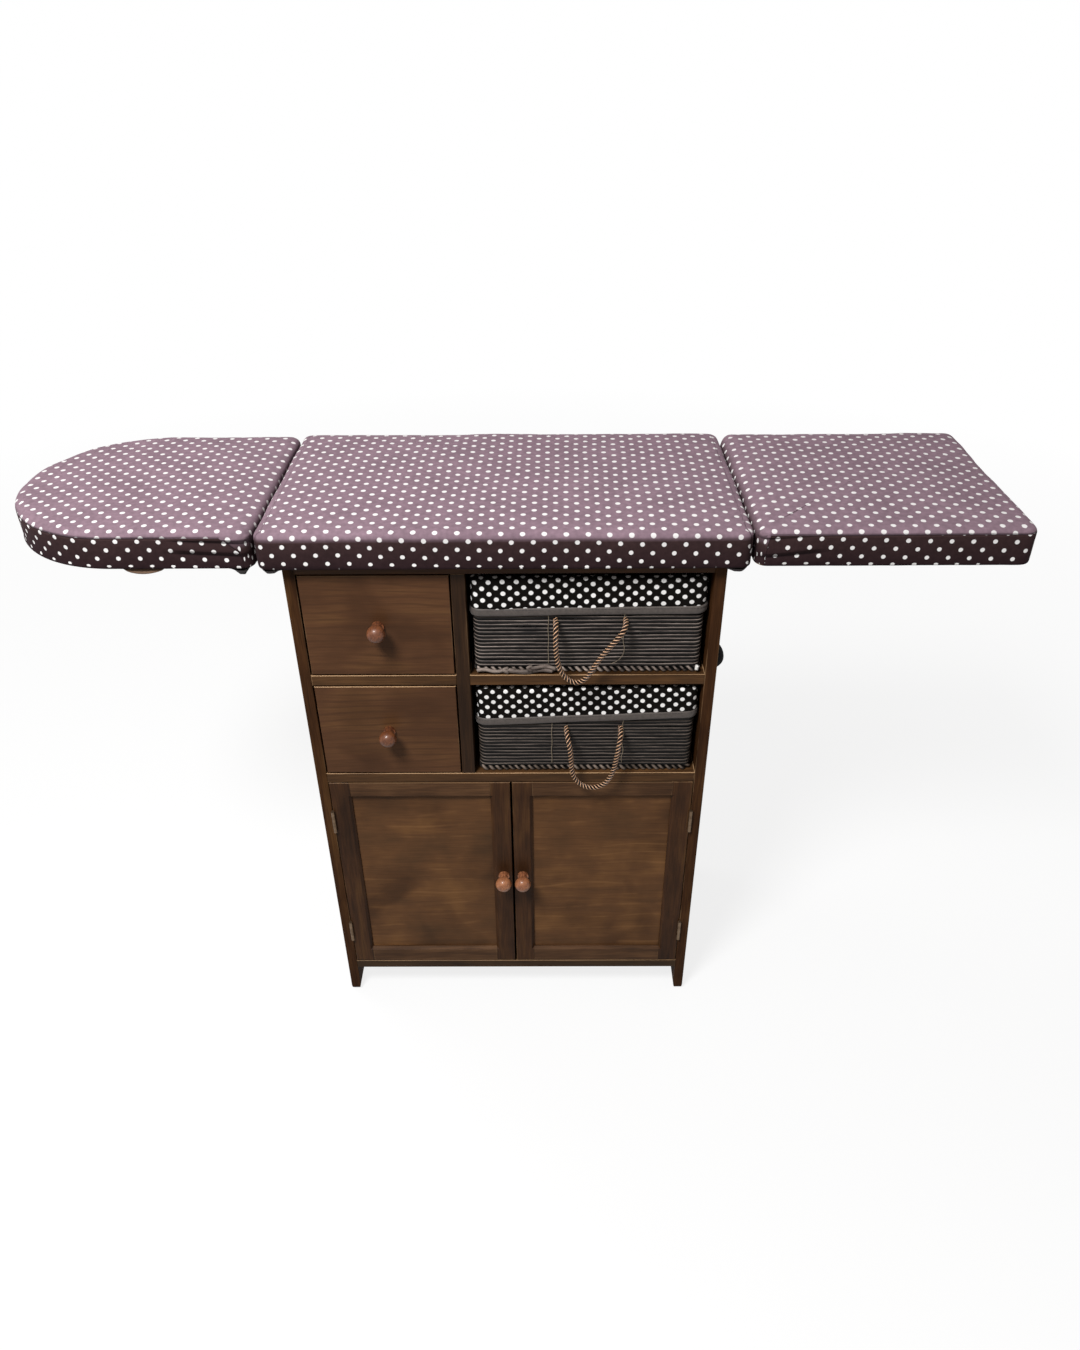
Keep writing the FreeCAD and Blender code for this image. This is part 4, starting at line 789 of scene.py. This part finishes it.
# each basket has its own copy of the same rope; the lower one is painted darker, as painted shade
for storey, dark, light in (("upper", "#3A2F2A", "#C2B0A4"), ("lower", "#33281F", "#96867A")):
    paper_ropes[storey], put = cleared(bpy.data.materials.new("twisted_paper_rope_" + storey))
    # streaks of 2 mm and patches of 9 mm, drawn out seven times along the rows
    row = put("Mapping", put("TexCoord").outputs["Object"], Scale=(0.14, 0.14, 1))
    streak = put("TexNoise", row, Scale=520, Detail=5, Roughness=0.62, Distortion=0.6)
    patch = put("TexNoise", row, Scale=110, Detail=2)
    tint = put("ValToRGB", put("Mix", 0.6, streak, patch), stops=((0.35, dark), (0.68, light)))
    # painted light and shade: the rope is darkened to near black away from the crown that each piece carries,
    # in the grooves between rows and strands
    crown = put("MapRange", put("Attribute", attribute_name="crown").outputs["Fac"], From_Min=0.86,
                From_Max=0.985, To_Min=0.02)
    tint = put("Mix RGBA", 1.0, tint, crown, blend_type="MULTIPLY")
    bump = put("Bump", Height=streak, Strength=0.35, Distance=0.001)
    put("OutputMaterial", put("BsdfPrincipled", tint, Normal=bump, Roughness=0.6, Specular_IOR_Level=0.2))

# where the rope is torn its core shows, unbleached white pulp with fibres of 1.4 mm
torn_paper = mottled("torn_white_paper", "#F0EEEA", "#C9C4BC", 700, 0.8, detail=3)


def mesh_tree(name, **sizes):
    """A geometry node tree with named inputs, a function that puts a node in, and the inputs."""
    tree = bpy.data.node_groups.new(name, "GeometryNodeTree")
    for way in ("OUTPUT", "INPUT"):
        tree.interface.new_socket("Geometry", in_out=way, socket_type="NodeSocketGeometry")
    for word, value in sizes.items():
        kind = "NodeSocketInt" if isinstance(value, int) else "NodeSocketFloat"
        tree.interface.new_socket(word, in_out="INPUT", socket_type=kind).default_value = value
    tree.interface.new_socket("Material", in_out="INPUT", socket_type="NodeSocketMaterial")
    put = functools.partial(add, tree)
    return tree, put, put("NodeGroupInput").outputs


def grown(name, source, tree, **values):
    """What a node tree makes of an object, as a plain mesh object."""
    modifier = source.modifiers.new("grow", "NODES")
    modifier.node_group = tree
    for item in tree.interface.items_tree:
        if item.in_out == "INPUT" and item.name in values:
            modifier[item.identifier] = values[item.name]
    mesh = mesh_of(source)
    mesh.shade_smooth()
    return linked(name, mesh)


# Rows of rope stacked round an outline, each a little uneven.
rope_rows, put, start = mesh_tree("rope_rows", Rows=16, Pitch=0.0056, Thickness=0.0053, Unevenness=0.0008,
                                  Seed=0.0)
stack = put("GeometryNodeMeshLine", Count=start["Rows"], Offset=put("CombineXYZ", Z=start["Pitch"]))
rows = put("GeometryNodeInstanceOnPoints", stack, Instance=start["Geometry"])
rows = put("GeometryNodeRealizeInstances", rows)
warped = put("VectorMath MULTIPLY", put("GeometryNodeInputPosition"), (18, 18, 260))
uneven = put("TexNoise", warped, W=start["Seed"], Scale=1, Detail=2, noise_dimensions="4D").outputs["Color"]
uneven = put("VectorMath SUBTRACT", uneven, (0.5, 0.5, 0.5))
# noise seldom goes further than 0.3 from its middle, so it is spread to the whole unevenness
spread = put("Math MULTIPLY", start["Unevenness"], 3.2)
uneven = put("VectorMath SCALE", uneven, Scale=spread)
rows = put("GeometryNodeSetPosition", rows, Offset=uneven)
half = put("Math MULTIPLY", start["Thickness"], 0.5)
section = put("GeometryNodeCurvePrimitiveCircle", Resolution=8, Radius=half)
rows = put("GeometryNodeCurveToMesh", rows, section)
rows = put("GeometryNodeRealizeInstances", rows)
# painted light and shade: each row is kept light where it faces out and a little up, as if lit from above,
# and painted dark into its grooves
up = put("SeparateXYZ", put("GeometryNodeInputNormal")).outputs["Z"]
steep = put("Math SUBTRACT", up, 0.45)
crown = put("Math SUBTRACT", 1.0, put("Math MULTIPLY", steep, steep))
rows = put("GeometryNodeStoreNamedAttribute", rows, Name="crown", Value=crown, domain="POINT")
put("NodeGroupOutput", put("GeometryNodeSetMaterial", rows, Material=start["Material"]))

# Running stitches set along a line.
stitches, put, start = mesh_tree("running_stitches", Spacing=0.0042, Length=0.0026, Thread=0.0007)
places = put("GeometryNodeResampleCurve", start["Geometry"], Length=start["Spacing"], mode="LENGTH")
turn = put("FunctionNodeAlignRotationToVector", Vector=put("GeometryNodeInputTangent"), axis="X")
tip = put("CombineXYZ", X=put("Math MULTIPLY", start["Length"], 0.5))
tail = put("VectorMath SCALE", tip, Scale=-1)
half = put("Math MULTIPLY", start["Thread"], 0.5)
section = put("GeometryNodeCurvePrimitiveCircle", Resolution=5, Radius=half)
bar = put("GeometryNodeCurvePrimitiveLine", Start=tail, End=tip)
bar = put("GeometryNodeCurveToMesh", bar, section, Fill_Caps=True)
sewn = put("GeometryNodeInstanceOnPoints", places, Instance=bar, Rotation=turn)
sewn = put("GeometryNodeRealizeInstances", sewn)
put("NodeGroupOutput", put("GeometryNodeSetMaterial", sewn, Material=start["Material"]))

# Basket linings: black cotton with white spots, sewn as a bag, turned down outside over
# the rim and bound with a band of charcoal satin, stitched on with black thread.
lining_cotton = spotted_cotton("black_spotted_cotton", ("#0F0C0A", "#14100E", "#191412"), wide=0.0175,
                               high=0.0164, across=0.0062, slant=-0.05, sheen=0.0)
# satin with slubs of 3 mm; the threads are mottled by the millimetre, where their plies turn
satin = mottled("charcoal_satin_band", "#3A3431", "#5E5651", 300, 0.5, relief=0.2, Specular_IOR_Level=0.25,
                Sheen_Weight=0.1)
thread = mottled("waxed_sewing_thread", "#5E5244", "#A2917A", 900, 0.55, detail=2)
dark_thread = mottled("black_sewing_thread", "#121011", "#2A2628", 900, 0.5, detail=2)

basket_right, basket_back = 0.2555, 0.13925
basket_middle = np.array(((basket_left + basket_right) / 2, (basket_front + basket_back) / 2))
# Height of the foot of the spotted cloth over the basket's foot, at the left and the right.
flap_foot = {"upper": (0.098, 0.101), "lower": (0.092, 0.104)}
# How far in from the woven face the lining goes down, and how high its bottom lies over the
# basket's foot.
lining_in, lining_floor = 0.0114, 0.0082
for storey in ("upper", "lower"):
    foot = basket_foot[storey]
    name = "basket_" + storey
    paper_rope = paper_ropes[storey]
    rim = foot + 0.1402

    def round_basket(inset, z, step):
        """Points round the basket, drawn in from the woven face, at one height, and the ways out."""
        radius = max(0.003, 0.012 - inset)
        ring, ways = ring_of(basket_left + inset, basket_right - inset, basket_front + inset,
                             basket_back - inset, (radius,) * 4, step)
        return np.column_stack([ring, np.full(len(ring), z)]), ways

    ring, _ = round_basket(0.0031, foot + 0.0112, step=0.006)
    weave = grown(name + "_rope_weave", curve_through("rows", ring, closed=True), rope_rows, Rows=16,
                  Seed=3.0 if storey == "upper" else 8.0, Material=paper_rope)
    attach(weave, name)
    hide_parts(name + "_weave")

    ring, _ = round_basket(0.0042, foot + 0.0045, step=0.0022)
    strands, faces = twisted(ring, 2, across=0.0098, lay=0.0185, sides=10, closed=True, uneven=0.25)
    edge = piece_from(name + "_braided_foot", strands, faces, paper_rope)
    # painted shade: the grooves between the two strands of the edge are darker
    out = np.linalg.norm(np.reshape(strands, (2, len(ring), 10, 3)) - ring[None, :, None], axis=3).ravel()
    note(edge, crown=0.84 + 0.14 * np.clip((out / out.max() - 0.5) / 0.35, 0, 1))
    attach(edge, name)

    if storey == "upper":
        # at the left the edge has come undone, and its loose ends are knotted together
        loose = []
        at = np.linspace(0, 1, 18)
        for k, (x1, x2, lift, across) in enumerate(((0.004, 0.046, 0.0052, 0.0046),
                                                    (0.04, 0.104, 0.0046, 0.006),
                                                    (0.072, 0.108, 0.0098, 0.0052))):
            lie = np.column_stack([basket_left + x1 + (x2 - x1) * at,
                                   basket_front - 0.0022 + 0.0008 * np.sin(at * 9 + k),
                                   foot + lift + 0.0013 * np.sin(at * 7 + 2 * k)])
            loose.append(piece_from("%s_loose_end_%d" % (name, k),
                                    *twisted(spaced(lie, 0.002), 1, across, lay=0.01), paper_rope))
        turn = np.linspace(0, 2 * math.pi, 20, endpoint=False)
        for k, (x, z, wide) in enumerate(((0.042, 0.0058, 0.0052), (0.0735, 0.0078, 0.0056))):
            loop = np.column_stack([basket_left + x + 0.0024 * np.sin(2 * turn),
                                    basket_front - 0.0026 + 0.0022 * np.cos(turn),
                                    foot + z + wide / 2 * np.sin(turn)])
            loose.append(piece_from("%s_knot_%d" % (name, k),
                                    *twisted(loop, 1, across=0.0042, lay=0.01, closed=True), paper_rope))
        # at the right one torn end stands up
        at = np.linspace(0, 1, 6)
        tip = np.column_stack([basket_right - 0.006 + 0.001 * at, np.full(6, basket_front - 0.0014),
                               foot + 0.0052 + 0.0062 * at])
        loose.append(piece_from(name + "_torn_end", *twisted(tip, 1, across=0.0046, lay=0.01), torn_paper))
        for piece in loose:
            note(piece, crown=np.full(len(piece.data.vertices), 0.95))
            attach(piece, name)

    # ropes laid side by side close the bottom
    points, faces = [], []
    for k, y in enumerate(np.linspace(basket_front + 0.009, basket_back - 0.009, 46)):
        run = spaced([(basket_left + 0.007, y, foot + 0.004), (basket_right - 0.007, y, foot + 0.004)], 0.012)
        run[:, 2] += waver(run, 0.09, k) * 0.0003
        more_points, more_faces = twisted(run, 1, across=0.0057, lay=0.02, sides=6)
        faces += [[i + len(points) for i in face] for face in more_faces]
        points += more_points
    bottom = piece_from(name + "_rope_bottom", points, faces, paper_rope)
    # painted shade: the sides where one bottom rope meets the next are darker
    note(bottom, crown=[1 - v.normal[1] ** 2 for v in bottom.data.vertices])
    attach(bottom, name)

    # the lining, as rings from the foot of the turned-down flap, over the rim and down inside:
    # how far in, how high, and how far towards the middle of the bottom
    left_foot, right_foot = flap_foot[storey]
    base, ways = round_basket(0, 0, step=0.005)
    count = len(base)
    across = (base[:, 0] - basket_left) / (basket_right - basket_left)
    low = foot + left_foot + (right_foot - left_foot) * across
    run = run_along(base)
    rings = [(-0.0014, low + (rim - 0.001 - low) * share, 0) for share in np.linspace(0, 1, 10)]
    rings += [(inset, rim + rise, 0) for inset, rise in ((0.0004, 0.0006), (0.0035, 0.0016), (0.0075, 0.0016),
                                                         (0.0105, 0.0006), (0.0113, -0.002))]
    rings += [(lining_in, rim - 0.002 - (rim - 0.002 - foot - 0.0095) * share, 0)
              for share in np.linspace(0.06, 1, 14)]
    rings += [(lining_in, foot + lining_floor, inward) for inward in (0.02, 0.06, 0.14, 0.3, 0.55, 0.8)]
    points, face = [], []
    down = np.zeros(count)
    for inset, z, inward in rings:
        spot = base[:, :2] - ways * inset
        spot += (basket_middle - spot) * inward
        here = np.column_stack([spot, np.zeros(count) + z])
        slack = waver(here, 0.06, 5) * 0.0009 + waver(here, 0.024, 9) * 0.0004
        if inset < 0:
            out = np.minimum(slack - 0.0003, 0.0012)
        else:
            out = -np.abs(slack * (1 if inset == lining_in and not inward else 0.3))
        here[:, :2] += ways * out[:, None]
        if points:
            down = down + np.linalg.norm(here - points[-1], axis=1)
        points.append(here)
        face.append(np.column_stack([run, down + (low - foot), np.zeros(count)]))
    faces = domed(len(points), count)
    points.append([(*basket_middle, foot + lining_floor)])
    lining = piece_from(name + "_cotton_lining", np.vstack(points), faces, lining_cotton)
    uv = np.vstack(face + [face[-1][:1]])
    note(lining, face_uv=uv, band_uv=uv, seam=np.full(len(uv), -1.0))
    subdivided(lining)
    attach(lining, name)
    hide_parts(name + "_liner")

    # the band, folded over the raw edge of the cloth
    section = ((-0.0012, 0.001), (-0.0026, 0.0002), (-0.0032, -0.004), (-0.003, -0.0085), (-0.0018, -0.0105),
               (-0.0008, -0.0095), (-0.0006, -0.004), (-0.0006, 0.0006))
    points = []
    for inset, rise in section:
        here = np.column_stack([base[:, :2] - ways * inset, low + rise])
        here[:, :2] += ways * (waver(here, 0.05, 5) * 0.0005)[:, None]
        here[:, 2] += waver(here, 0.08, 6) * 0.0005
        points.append(here)
    faces = [face[:1] + face[:0:-1] for face in skinned(len(section), count, closed=True)]
    binding = piece_from(name + "_satin_band", np.vstack(points), faces, satin)
    subdivided(binding)
    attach(binding, name)

    line = np.column_stack([base[:, :2] + ways * 0.0029, low - 0.0012])
    sewing = grown(name + "_band_stitches", curve_through("line", line, closed=True), stitches,
                   Material=dark_thread)
    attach(sewing, name)

    # the threads that hold the handle run down the front of the weave
    for side, x, bend in (("left", 0.0985 if storey == "upper" else 0.103, 0.0004),
                          ("right", 0.1965 if storey == "upper" else 0.2015, -0.0012)):
        drop = [(basket_left + x + bend * math.sin(k * 1.3), basket_front - 0.0009,
                 foot + 0.09 - 0.0062 * k) for k in range(13)]
        if side == "right" and storey == "upper":
            drop = drop[:11] + [(drop[10][0] - 0.004, basket_front - 0.003, foot + 0.0235),
                                (drop[10][0] - 0.009, basket_front - 0.004, foot + 0.0195),
                                (drop[10][0] - 0.0155, basket_front - 0.004, foot + 0.0165)]
        tail = piece_from("%s_thread_%s" % (name, side),
                          *twisted(spaced(drop, 0.002), 1, across=0.0008, lay=0.01, sides=5), thread)
        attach(tail, name)
    finish_node(name + "_frame", black_enamel)
